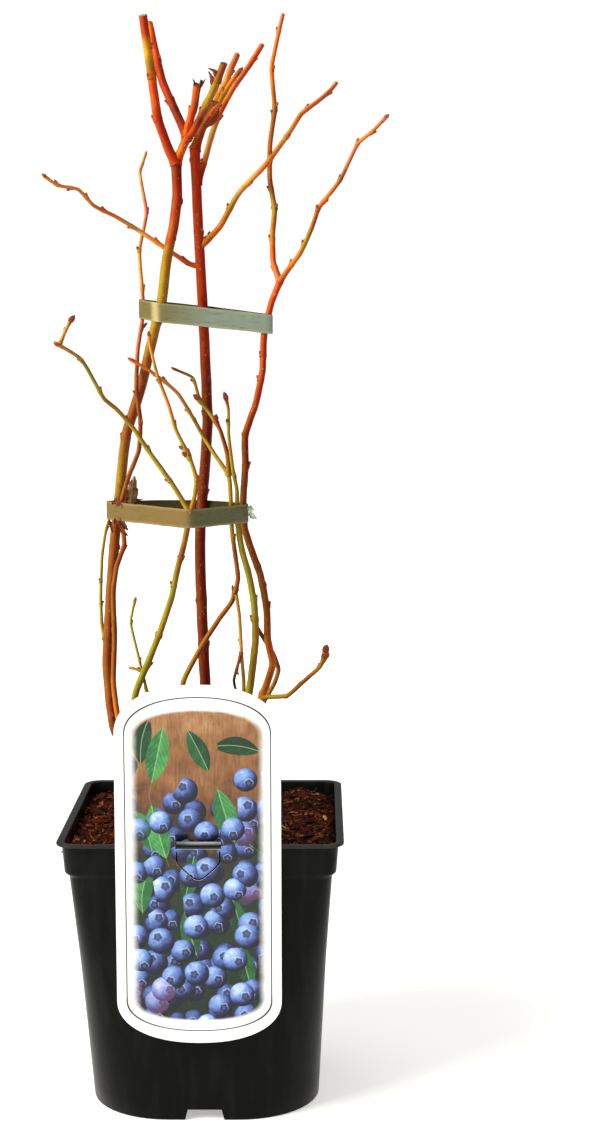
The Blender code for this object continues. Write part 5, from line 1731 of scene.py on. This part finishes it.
@dataclass(frozen=True)
class LabelPrint(Finish):
    """A printed panel of blue berries and leaves on a brown and dark green ground, inside a thin frame line."""

    card: "Label"
    frame_inset: float = 5.2
    frame_end_inset: float = 6.6
    side_inset: float = 7.2
    top_inset: float = 12.4
    bottom_inset: float = 11.4
    berries: tuple[Layer, ...] = (
        Layer(12.5, 6.6, 0.75, (3.1, 5.2), 0.8, 0.25, 1.1),
        Layer(15, 6.9, 0.8, (8.7, 1.3), 0.66, 0.7),
        Layer(18.5, 7.1, 0.8, (1.9, 11.4), 0.62, 1),
    )
    leaves: tuple[Layer, ...] = (
        Layer(24, 12, 0.55, (5, 17), 0.4, 0.45),
        Layer(33, 14.5, 0.5, (21, 9), 0.34, 1),
    )

    def paint(self, graph: Graph) -> None:
        """Paint the graph.

        Args:
            graph: The material's graph.
        """
        card = self.card
        x, _, z = graph.split(graph.scaled(graph.place(), 1 / MM))
        flat = graph.joined(x, z)
        colour = self.ground(flat, z)
        for layer in (self.berries[0], self.leaves[0], self.berries[1], self.leaves[1], self.berries[2]):
            mask, ink = (self.berry if layer in self.berries else self.leaf)(flat, layer)
            colour = graph.mix(colour, ink, mask)
        speckle = graph.noise(flat, 3, 2)
        colour = graph.mix(colour, (0.8, 0.8, 0.8), speckle.step(0.35, 0.65) * 0.25, "MULTIPLY")
        panel = self.inside(x, z, self.side_inset, self.top_inset, self.bottom_inset)
        cloud = graph.noise(flat, 0.16, 3)
        fade = (panel + (cloud - 0.5) * 0.05).step(1.02, 0.85)
        white = graph.mix(card.finish.colour, (0.8, 0.79, 0.72), cloud * 0.2)
        colour = graph.mix(white, colour, fade)
        frame_line = self.inside(x, z, self.frame_inset, self.frame_end_inset, self.frame_end_inset)
        at_end = abs(z - (card.top + card.bottom) / 2).step(66, 84)
        line = (abs(frame_line - 1) / (0.0085 + 0.0085 * at_end)).step(1.3, 0.7)
        colour = graph.mix(colour, (0.02, 0.018, 0.016), line)
        fine = graph.noise(flat, 2.2, 2)
        graph.surface(colour, 0.3 + 0.12 * cloud, 0.35, graph.bump(fine, 0.00002, 0.4))

    def inside(self, x: Value, z: Value, side: float, top: float, bottom: float) -> Value:
        """Return how far out a point of the card lies: 1 on the outline moved inwards by the insets.

        Args:
            x: The place across, in millimetres.
            z: The height, in millimetres.
            side: The inset of the straight sides.
            top: The inset of the upper arch.
            bottom: The inset of the lower arch.

        Returns:
            The share of the way from the middle to that outline.
        """
        card, power = self.card, self.card.power
        across = abs(x - card.centre_x) / (card.half_width - side)
        over = (z - (card.top - card.top_rise)).apply("MAXIMUM") / (card.top_rise - top)
        under = (card.bottom + card.bottom_rise - z).apply("MAXIMUM") / (card.bottom_rise - bottom)
        return (across ** power + over ** power + under ** power) ** (1 / power)

    @staticmethod
    def ground(flat: Value, z: Value) -> Value:
        """Return the ground's colour: warm brown above, dark leaf shade below.

        Args:
            flat: The place on the card.
            z: The height.

        Returns:
            The colour.
        """
        graph = flat.graph
        cloud = graph.noise(flat, 0.05, 4, 0.6)
        streak = graph.noise(graph.vector("MULTIPLY", flat, (1, 0.12, 1)), 0.9, 3)
        height = (z * (1 / 190) - 0.25) + (cloud - 0.5) * 0.7
        colour = graph.ramp(height, (0, (0.006, 0.016, 0.006)), (0.4, (0.01, 0.028, 0.009)),
                            (0.58, (0.035, 0.024, 0.01)), (0.7, (0.17, 0.07, 0.022)),
                            (0.85, (0.27, 0.125, 0.045)), (1, (0.42, 0.24, 0.11)))
        return graph.mix(colour, (0.55, 0.45, 0.4), streak.step(0.42, 0.62) * 0.5, "MULTIPLY")

    @staticmethod
    def cells(flat: Value, layer: Layer) -> tuple[Value, Value, Value]:
        """Return what a point of the card knows of its cell.

        Args:
            flat: The place on the card, in millimetres.
            layer: The layer.

        Returns:
            The place in the cell as a share of the layer's size, the cell's random colour and its middle.
        """
        graph = flat.graph
        moved = graph.vector("ADD", flat, (*layer.shift, 0))
        settings = {"voronoi_dimensions": "2D", "feature": "F1"}
        inputs = {"Vector": moved, "Scale": 1 / layer.spacing, "Randomness": layer.jitter}
        cell = graph.node("ShaderNodeTexVoronoi", settings, inputs, "Color")
        middle = Value(graph, cell.socket.node.outputs["Position"])
        local = graph.scaled(graph.vector("SUBTRACT", moved, middle), 1 / layer.size)
        return local, cell, graph.vector("SUBTRACT", middle, (*layer.shift, 0))

    def berry(self, flat: Value, layer: Layer) -> tuple[Value, Value]:
        """Return the mask and the colour of a layer of berries.

        Args:
            flat: The place on the card, in millimetres.
            layer: The layer.

        Returns:
            The mask and the colour.
        """
        graph = flat.graph
        local, cell, middle = self.cells(flat, layer)
        red, green, blue = graph.split(cell)
        _, height, _ = graph.split(middle)
        x, y, _ = graph.split(local)
        grow = 0.86 + 0.16 * blue
        x, y = x / grow, y / grow
        reach = (x * x + y * y) ** 0.5
        present = (red + height.step(150, 215) * layer.thinning).step(layer.share + 0.01, layer.share)
        mask = reach.step(1, 0.95) * present
        depth = (1 - reach * reach).apply("MAXIMUM") ** 0.5
        light = x * -0.38 + y * 0.5 + depth * 0.74
        bloom = graph.noise(flat, 0.35, 3, 0.6)
        tone = light * 0.86 + (bloom - 0.5) * 0.5 + (green - 0.5) * 0.22 + (layer.shade - 1) * 0.38
        colour = graph.ramp(tone, (0, (0.004, 0.005, 0.016)), (0.24, (0.016, 0.022, 0.085)),
                            (0.48, (0.065, 0.115, 0.33)), (0.72, (0.19, 0.31, 0.62)),
                            (0.88, (0.4, 0.53, 0.82)), (1, (0.72, 0.8, 0.95)))
        crown_x, crown_y = x - (green - 0.5) * 0.9, y - (blue - 0.62) * 0.9
        bearing = graph.maths("ARCTAN2", crown_y, crown_x) * 5 + red * 20
        crown_reach = (crown_x * crown_x + crown_y * crown_y) ** 0.5
        star = crown_reach - (0.33 + 0.035 * bearing.apply("COSINE"))
        colour = graph.mix(colour, (0.01, 0.012, 0.04), star.step(0.05, -0.1) * 0.85)
        colour = graph.mix(colour, (0.085, 0.1, 0.22), crown_reach.step(0.2, 0.06) * 0.7)
        rim = abs(star - 0.02).step(0.06, 0.01)
        colour = graph.mix(colour, (0.45, 0.56, 0.84), rim * crown_y.step(-0.35, 0.35) * 0.55)
        return mask, graph.mix(colour, (0.24, 0.1, 0.24), green.step(0.86, 0.97) * 0.3)

    def leaf(self, flat: Value, layer: Layer) -> tuple[Value, Value]:
        """Return the mask and the colour of a layer of leaves.

        Args:
            flat: The place on the card, in millimetres.
            layer: The layer.

        Returns:
            The mask and the colour.
        """
        graph = flat.graph
        local, cell, _ = self.cells(flat, layer)
        red, green, blue = graph.split(cell)
        x, y, _ = graph.split(local)
        turn = green * math.tau
        cos, sin = turn.apply("COSINE"), turn.apply("SINE")
        along, across = x * cos + y * sin, y * cos - x * sin
        across = across + (along * along - 0.3) * (blue - 0.5) * 0.35
        blade = (1 - along * along).apply("MAXIMUM") ** 0.85 * 0.4
        present = red.step(layer.share + 0.01, layer.share)
        mask = (abs(across) - blade).step(0.02, -0.02) * present
        veins = ((abs(across) * 1.6 - along) * 26).apply("SINE")
        cloud = graph.noise(flat, 0.22, 3)
        tone = 0.35 + (blue - 0.5) * 0.5 + (cloud - 0.5) * 0.5 + veins * 0.05 + across.step(-0.02, 0.02) * 0.16
        tone = tone + (layer.shade - 1) * 0.5
        colour = graph.ramp(tone, (0, (0.006, 0.03, 0.01)), (0.35, (0.02, 0.13, 0.035)),
                            (0.65, (0.075, 0.32, 0.075)), (1, (0.36, 0.62, 0.3)))
        return mask, graph.mix(colour, (0.34, 0.55, 0.26), abs(across).step(0.03, 0.008) * 0.45)


Line = list[tuple[float, float]]


def rounded(corners: Line, near: float, far: float) -> Line:
    """Return a line with its inner corners rounded.

    Args:
        corners: The line's corners.
        near: The share of the way to the last corner where a rounding starts.
        far: The share of the way to the next corner where it ends.

    Returns:
        The rounded line.
    """
    line = [corners[0]]
    for before, corner, after in zip(corners, corners[1:], corners[2:]):
        for step in range(7):
            share = step / 6
            back, ahead = near * (1 - share) ** 2, far * share ** 2
            line.append(tuple(c + (b - c) * back + (a - c) * ahead for b, c, a in zip(before, corner, after)))
    return line + [corners[-1]]


def shifted(line: Line, distance: float) -> Line:
    """Return a line moved to its left.

    Args:
        line: The line.
        distance: How far it is moved.

    Returns:
        The moved line.
    """
    moved = []
    for index, (x, z) in enumerate(line):
        low, high = line[max(index - 1, 0)], line[min(index + 1, len(line) - 1)]
        dx, dz = high[0] - low[0], high[1] - low[1]
        size = math.hypot(dx, dz)
        moved.append((x - dz / size * distance, z + dx / size * distance))
    return moved


def prism(name: str, first: Iterable[Spot], second: Iterable[Spot]) -> bpy.types.Object:
    """Return a closed solid between two outlines.

    Args:
        name: Its name.
        first: The first outline, in millimetres.
        second: The second, with as many points.

    Returns:
        The solid.
    """
    bm = bmesh.new()
    near, far = ([bm.verts.new(Vector(spot) * MM) for spot in spots] for spots in (first, second))
    for index in range(len(near)):
        after = (index + 1) % len(near)
        bm.faces.new((near[index], near[after], far[after], far[index]))
    bm.faces.new(near)
    bm.faces.new(far[::-1])
    return from_bmesh(name, bm)


@dataclass(frozen=True)
class Label:
    """The hanging card: arched ends, a slot, and a tab that hooks it over the pot's lip."""

    half_width: float = 42.8
    centre_x: float = -0.4
    bottom: float = 48.1
    top: float = 237.6
    bottom_rise: float = 23.0
    top_rise: float = 26.0
    thickness: float = 0.6
    power: float = 2.2
    arch_steps: int = 40
    back: float = -75.3
    slot_half_width: float = 11.8
    slot_bottom: float = 151.6
    slot_top: float = 161.0
    tab_half_width: float = 11.5
    tab_behind: float = -70.1
    tab_bend: float = 153.6
    tab_foot: float = 147.3
    tongue_side: float = 143.6
    tongue_point: float = 134.4
    tongue_top: float = 150.4
    slit: float = 0.75
    smooth_angle: float = 30.0
    finish: Card = Card()

    @property
    def front(self) -> float:
        """Return where the card's front lies along Y."""
        return self.back - self.thickness

    def arch(self, centre_z: float, rise: float, sign: int) -> Line:
        """Return one end of the outline.

        Args:
            centre_z: The height at which the arch starts.
            rise: How far it rises.
            sign: 1 for the upper end and -1 for the lower.

        Returns:
            Its points as (x, z).
        """
        points = []
        power = 2 / self.power
        for step in range(self.arch_steps + 1):
            angle = math.pi * step / self.arch_steps
            across, up = math.cos(angle), math.sin(angle)
            x = math.copysign(abs(across) ** power, across) * self.half_width * sign
            points.append((x + self.centre_x, centre_z + sign * rise * abs(up) ** power))
        return points

    def plate(self, name: str, outline: Line, spare: float = 0.0) -> bpy.types.Object:
        """Return a flat plate with an outline of (x, z), which stands a spare way out of the card's faces."""
        return prism(name, *([(x, y, z) for x, z in outline] for y in (self.front - spare, self.back + spare)))

    def tongue(self) -> Line:
        """Return the outline of the slit round the tongue: a thin V with rounded corners, as (x, z)."""
        left, right = self.centre_x - self.tab_half_width, self.centre_x + self.tab_half_width
        foot = self.tongue_point + 0.7
        line = rounded([(left, self.tongue_top), (left, self.tongue_side), (self.centre_x - 2, foot),
                        (self.centre_x + 2, foot), (right, self.tongue_side), (right, self.tongue_top)], 0.3, 0.3)
        return line + shifted(line, self.slit)[::-1]

    def tab(self) -> bpy.types.Object:
        """Return the tab: it leans back over the lip and runs down inside the wall."""
        half, middle, behind = self.thickness / 2, (self.front + self.back) / 2, self.tab_behind
        line = rounded([(middle, self.slot_top + 0.6), (middle, self.slot_top - 0.6), (behind, self.tab_bend),
                        (behind, self.tab_foot)], 0.35, 0.22)
        profile = shifted(line, -half) + shifted(line, half)[::-1]
        left, right = self.centre_x - self.tab_half_width, self.centre_x + self.tab_half_width
        return prism("tab", *([(x, y, z) for y, z in profile] for x in (left, right)))

    def build(self) -> None:
        """Build the card, cut its slot and slit, join its tab and dress it."""
        outline = self.arch(self.top - self.top_rise, self.top_rise, 1)
        outline += self.arch(self.bottom + self.bottom_rise, self.bottom_rise, -1)
        card = self.plate("label_card_cut", outline)
        left, right = self.centre_x - self.slot_half_width, self.centre_x + self.slot_half_width
        corners = [(left, self.slot_bottom), (right, self.slot_bottom), (right, self.slot_top), (left, self.slot_top)]
        card = carve(card, self.plate("slot", corners, 2))
        card = carve(card, self.plate("slit", self.tongue(), 2))
        card = carve(card, self.tab(), "UNION")
        card.data.materials.clear()
        for finish in (self.finish, LabelPrint("label_print", self)):
            card.data.materials.append(finish.make())
        for face in card.data.polygons:
            ahead = face.normal.y < -0.5 and face.center.y < (self.tab_behind - 1) * MM
            face.material_index = 1 if ahead else 0
        finished(card, self.smooth_angle, "label_card", "label")


@dataclass(frozen=True)
class Tie:
    """A soft flattened tube drawn round the canes: it lies on the plane z = middle + slope_x x + slope_y y."""

    name: str
    middle: float
    slope_x: float
    slope_y: float
    # Two tones, and the turn between them along X, paint light and shade on the band's faces.
    warm: Colour
    cool: Colour
    turn: tuple[float, float]
    # Where along X a painted highlight lies; the default puts it far off the band.
    painted_highlight_x: float = 1000.0
    height: float = 10.2
    thickness: float = 0.8
    inset: float = 0.4
    step: float = 1.0
    softening: int = 3
    section_steps: int = 28
    sag: float = 0.25
    smooth_angle: float = 60.0

    def outline(self) -> np.ndarray:
        """Return the middle line of the band, seen from above, in millimetres."""
        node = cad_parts[self.name]
        spots = sorted({(round(v.co.x / MM, 3), round(v.co.y / MM, 3)) for v in node.data.vertices})
        corners = np.array(self.chain(spots) + self.chain(spots[::-1]))
        edges = np.roll(corners, -1, axis=0) - corners
        lengths = np.linalg.norm(edges, axis=1)
        count = int(lengths.sum() / self.step)
        starts = np.concatenate(([0], np.cumsum(lengths)))
        line = []
        for place in np.arange(count) * lengths.sum() / count:
            index = int(np.searchsorted(starts, place, side="right")) - 1
            line.append(corners[index] + edges[index] * (place - starts[index]) / lengths[index])
        line = np.array(line)
        for _ in range(self.softening):
            line = (np.roll(line, 1, axis=0) + 2 * line + np.roll(line, -1, axis=0)) / 4
        return line - self.outwards(line) * self.inset

    @staticmethod
    def chain(row: Line) -> Line:
        """Return half of the convex outline round points.

        Args:
            row: The points in order.

        Returns:
            The lower half, or the upper one where the order is reversed.
        """
        kept = []
        for spot in row:
            while len(kept) > 1 and ((kept[-1][0] - kept[-2][0]) * (spot[1] - kept[-2][1])
                                     - (kept[-1][1] - kept[-2][1]) * (spot[0] - kept[-2][0])) <= 0:
                kept.pop()
            kept.append(spot)
        return kept[:-1]

    @staticmethod
    def outwards(line: np.ndarray) -> np.ndarray:
        """Return the way out of a closed line at each of its points."""
        ahead = np.roll(line, -1, axis=0) - np.roll(line, 1, axis=0)
        out = np.stack((ahead[:, 1], -ahead[:, 0]), axis=1)
        return out / np.linalg.norm(out, axis=1)[:, None]

    def build(self) -> None:
        """Build the band as a closed sweep of a flattened tube."""
        line = self.outline()
        bm = bmesh.new()
        rows = []
        marks = {"inward": [], "rim": []}
        for (x, y), (out_x, out_y) in zip(line, self.outwards(line)):
            row = []
            ripple = 0.12 * noise.noise(Vector((x, y, self.middle)) * 0.22)
            for step in range(self.section_steps):
                angle = math.tau * step / self.section_steps
                up = math.copysign(abs(math.sin(angle)) ** 0.55, math.sin(angle))
                side = math.copysign(abs(math.cos(angle)) ** 0.8, math.cos(angle))
                rim = 0.78 + 0.22 * abs(up) ** 6
                across = side * self.thickness / 2 * rim * (1 - 0.35 * max(abs(up) - 0.93, 0) / 0.07)
                across -= self.sag * (1 - up * up) * 0.3 - ripple
                height = self.middle + self.slope_x * x + self.slope_y * y + up * self.height / 2
                height += 0.25 * noise.noise(Vector((x, y, 40)) * 0.09)
                row.append(bm.verts.new(Vector((x + out_x * across, y + out_y * across, height)) * MM))
                marks["inward"].append(float(side < -0.05))
                marks["rim"].append(abs(up))
            rows.append(row)
        for index, row in enumerate(rows):
            onward = rows[(index + 1) % len(rows)]
            for step in range(self.section_steps):
                after = (step + 1) % self.section_steps
                bm.faces.new((row[step], onward[step], onward[after], row[after]))
        finish = TieFinish(f"{self.name}_tube", self.warm, self.cool, self.turn, self.painted_highlight_x)
        band = from_bmesh(f"{self.name}_band", bm, [finish.make()])
        for mark, values in marks.items():
            store(band.data, mark, values)
        finished(band, self.smooth_angle, "tie_plastic", self.name)


@dataclass(frozen=True)
class Flake:
    """A thin bent flake: a dry leaf's torn piece or a tube's loose end.

    It grows from root along aim, bends towards bend, and is widest at bulge of its length.
    """

    root: Spot
    aim: Spot
    across: Spot
    length: float
    width: float
    bend: Spot
    bulge: float
    tear: float
    cup: float = 0.15
    thickness: float = 0.16
    rows: int = 14
    columns: int = 8

    def points(self, draw: random.Random) -> list[list[Vector]]:
        """Return the rows of the middle surface.

        Args:
            draw: Random numbers for the torn edge.

        Returns:
            The points in millimetres.
        """
        root, aim, across, bend = (Vector(part) for part in (self.root, self.aim, self.across, self.bend))
        aim, across = aim.normalized(), across.normalized()
        out = aim.cross(across).normalized()
        rows = []
        for row in range(self.rows + 1):
            share = row / self.rows
            rise = share / self.bulge if share < self.bulge else (1 - share) / (1 - self.bulge)
            half = self.width / 2 * max(math.sin(math.pi / 2 * min(rise, 1)) ** 0.8, 0.08)
            torn = [1 - self.tear * draw.random() * (1 if 0 < row < self.rows else 0) for _ in range(2)]
            spine = root + aim * self.length * share + bend * share ** 2
            line = []
            for side in self.sides():
                reach = side * half * torn[int(side > 0)]
                cup = self.cup * self.width * (side * side - 0.4)
                cup += 0.25 * noise.noise(spine * 0.5 + across * side * 2)
                line.append(spine + across * reach + out * cup)
            rows.append(line)
        return rows

    def sides(self) -> list[float]:
        """Return how far each column lies from the midrib, from -1 to 1."""
        return [2 * column / self.columns - 1 for column in range(self.columns + 1)]

    def grow(self, bm: bmesh.types.BMesh, draw: random.Random) -> list[float]:
        """Add the flake to a bmesh as a closed solid.

        Args:
            bm: The bmesh.
            draw: Random numbers for the torn edge.

        Returns:
            How far each new point lies from the midrib, from 0 to 1.
        """
        rows = self.points(draw)
        out = Vector(self.aim).normalized().cross(Vector(self.across).normalized()) * self.thickness / 2
        sheets = [[[bm.verts.new((point + out * side) * MM) for point in row] for row in rows] for side in (1, -1)]
        for side, sheet in zip((1, -1), sheets):
            for low, high in zip(sheet, sheet[1:]):
                for index in range(self.columns):
                    bm.faces.new((low[index], low[index + 1], high[index + 1], high[index])[::side])
        upper, lower = (sheet[0] + [row[-1] for row in sheet[1:]] + sheet[-1][-2::-1]
                        + [row[0] for row in sheet[-2:0:-1]] for sheet in sheets)
        for index in range(len(upper)):
            after = (index + 1) % len(upper)
            bm.faces.new((upper[index], lower[index], lower[after], upper[after]))
        return [abs(side) for side in self.sides()] * (self.rows + 1) * len(sheets)


@dataclass(frozen=True)
class Scraps:
    """A piece made of closed thin flakes, with the attribute along as the distance from the midrib."""

    name: str
    slot: str
    finish: Finish
    seed: int
    flakes: tuple[Flake, ...]
    smooth_angle: float = 60.0

    def build(self) -> None:
        """Build the piece."""
        bm = bmesh.new()
        ribs = []
        for number, flake in enumerate(self.flakes):
            ribs += flake.grow(bm, random.Random(self.seed + number))
        made = from_bmesh(self.name, bm, [self.finish.make()])
        store(made.data, "along", ribs)
        finished(made, self.smooth_angle, self.slot)


# The loose ends of the lower tie, where it is knotted behind the right-hand canes
TIE_ENDS = (
    Flake((23.6, -2.6, 320.5), (0.5, -0.35, 0.15), (0, 0.1, 1), 4.6, 4.6, (0, -0.6, -1.6), 0.55, 0.35),
    Flake((23.6, -1.6, 317.6), (0.8, -0.25, -0.2), (0.1, 0.3, 1), 5.6, 4.2, (0, 0.3, -1.2), 0.4, 0.45),
)

# Dry leaves caught in the lower tie: the large one, and the scraps and litter round it
DRY_LEAVES = (
    Flake((-41.2, 10, 320), (0.05, 0.1, 1), (1, 0.15, 0), 17.5, 8.4, (1.8, 0, 0), 0.36, 0.34),
    Flake((-44.2, 9, 321), (0.1, 0.2, 1), (1, 0.5, 0), 9, 3.6, (0.4, 0, 0), 0.5, 0.4),
)
LEAF_LITTER = (
    Flake((-50.8, 9, 322), (0.6, 0, 0.55), (-0.3, 0.7, 1), 6.5, 4.4, (1, -0.5, -2), 0.5, 0.5),
    Flake((-47.5, 6, 321.5), (0.7, 0.3, 0.5), (-0.2, 0.6, 1), 6, 3.8, (1, 0, -1.6), 0.5, 0.5),
    Flake((-44, 12.5, 323.2), (1, 0.35, 0.05), (0, 0.3, 1), 11, 2.2, (0, 0, 0.6), 0.3, 0.5),
    Flake((-49.5, 7.5, 314.5), (0.5, -0.1, -1), (1, 0.5, 0.2), 12, 5, (1.8, 0, 1), 0.35, 0.5),
    Flake((-46.5, 8, 314.8), (0.3, -0.1, -1), (0.9, 0.6, 0.2), 8.5, 4.4, (2, 0, 1), 0.4, 0.5),
    Flake((-52.5, 9, 313.8), (0.15, 0.2, -1), (1, 0.4, 0.1), 8, 3.2, (0.8, 0, 0), 0.4, 0.5),
)

# The dead husks of buds in the head
BUD_HUSKS = (
    Flake((9.6, -23.5, 543.8), (-0.75, -0.1, 0.75), (0.6, 0.4, 0.6), 5, 2.2, (-0.5, 0, 2), 0.45, 0.3, 0.5),
    Flake((8.8, -22.5, 542), (-0.4, 0.1, 1), (0.9, 0.4, 0.3), 4.6, 1.8, (-1, 0, 0.8), 0.35, 0.3, 0.5),
    Flake((11.3, -25, 547.5), (-0.55, -0.2, 0.8), (0.8, 0.4, 0.5), 5.4, 2.4, (-2.6, 0, -1.2), 0.5, 0.3, 0.6),
    Flake((-0.6, -18, 541.5), (-0.45, -0.1, 1), (1, 0.2, 0.3), 5, 1.6, (-0.4, 0, 0.3), 0.3, 0.3, 0.4),
    Flake((0.6, -18.4, 541), (0.55, -0.1, 1), (1, 0.3, -0.3), 5.4, 1.6, (0.6, 0, 0.5), 0.3, 0.3, 0.4),
)

SCRAPS = (
    Scraps("tie_lower_ends", "tie_plastic", LooseEnd(), 33, TIE_ENDS),
    Scraps("dry_leaf_scrap", "bark_brown", DryLeaf(), 21, DRY_LEAVES),
    Scraps("dry_leaf_litter", "bark_brown", DryLeaf("dark_litter", (0.85, 0.38, 0.24)), 21, LEAF_LITTER),
    Scraps("dry_bud_husks", "bark_brown", DryLeaf("dark_husk", (0.7, 0.27, 0.2)), 21, BUD_HUSKS),
)


@dataclass
class Studio:
    """Pale floor, soft lights, white surroundings and the photograph's camera."""

    floor_half: float = 4.0
    position: Spot = (0.0616, -1.0977, 0.4269)
    heading: float = -0.0109
    pitch: float = 0.1259
    roll: float = -0.0029
    lens: float = 64.54
    sensor: float = 36.0
    surroundings: float = 0.26
    backdrop: float = 1.05
    aim: Spot = (0, 0, 0.28)
    lights: tuple[tuple[str, Spot, float, float, Colour], ...] = (
        ("key_light", (-1.45, -1.05, 1.45), 1.1, 62, (1, 0.97, 0.92)),
        ("fill_light", (0.9, -1.9, 1.2), 1.4, 10, (0.96, 0.98, 1)),
        ("top_light", (0.1, 0.5, 2.1), 1.6, 16, (1, 1, 1)),
    )

    def build(self) -> None:
        """Build the whole studio."""
        bm = bmesh.new()
        bmesh.ops.create_grid(bm, x_segments=8, y_segments=8, size=self.floor_half)
        floor = from_bmesh("studio_floor", bm, [FloorFinish().make()], False)
        self.build_world()
        for light in self.lights:
            self.build_light(*light)
        self.build_camera()

    def build_world(self) -> None:
        """Make the surroundings white to the camera and softer as a light."""
        world = bpy.data.worlds.new("studio_world")
        bpy.context.scene.world = world
        world.use_nodes = True
        graph = Graph(world.node_tree)
        seen = graph.node("ShaderNodeLightPath", output="Is Camera Ray")
        strength = self.surroundings + (self.backdrop - self.surroundings) * seen
        shade = graph.node("ShaderNodeBackground", None, {"Color": (1, 1, 1), "Strength": strength})
        graph.node("ShaderNodeOutputWorld", None, {"Surface": shade})

    def build_light(self, name: str, place: Spot, size: float, power: float, colour: Colour) -> None:
        """Hang a soft box that faces the middle of the plant.

        Args:
            name: Its name.
            place: Where it hangs, in metres.
            size: Its side.
            power: Its power in watts.
            colour: Its colour.
        """
        data = bpy.data.lights.new(name, "AREA")
        data.shape, data.size, data.energy, data.color = "SQUARE", size, power, colour
        light = bpy.data.objects.new(name, data)
        light.location = place
        light.rotation_euler = (Vector(self.aim) - Vector(place)).to_track_quat("-Z", "Y").to_euler()
        bpy.context.scene.collection.objects.link(light)

    def build_camera(self) -> None:
        """Set the camera where the photograph was taken."""
        data = bpy.data.cameras.new("photo_camera")
        data.lens, data.sensor_width, data.clip_start = self.lens, self.sensor, 0.05
        camera = bpy.data.objects.new("photo_camera", data)
        camera.matrix_world = Matrix.Translation(self.position)
        for angle, axis in ((-self.heading, "Z"), (math.pi / 2 - self.pitch, "X"), (self.roll, "Z")):
            camera.matrix_world @= Matrix.Rotation(angle, 4, axis)
        bpy.context.scene.collection.objects.link(camera)
        bpy.context.scene.camera = camera
        bpy.context.scene.view_settings.view_transform = "Standard"


def main() -> None:
    """Build the whole scene."""
    logging.basicConfig(level=logging.INFO, format="%(message)s")
    pot = Container()
    pot.build()
    Ground(pot).build()
    Label().build()
    Bush().build()
    Tie("tie_lower", 318, 0, 0, (0.16, 0.105, 0.03), (0.088, 0.084, 0.036), (-0.01, 0)).build()
    Tie("tie_upper", 424, -0.114, 0.04, (0.135, 0.105, 0.028), (0.175, 0.21, 0.155), (-0.03, 0.012), -24.6).build()
    for scraps in SCRAPS:
        scraps.build()
    Studio().build()


if __name__ == "__main__":
    main()
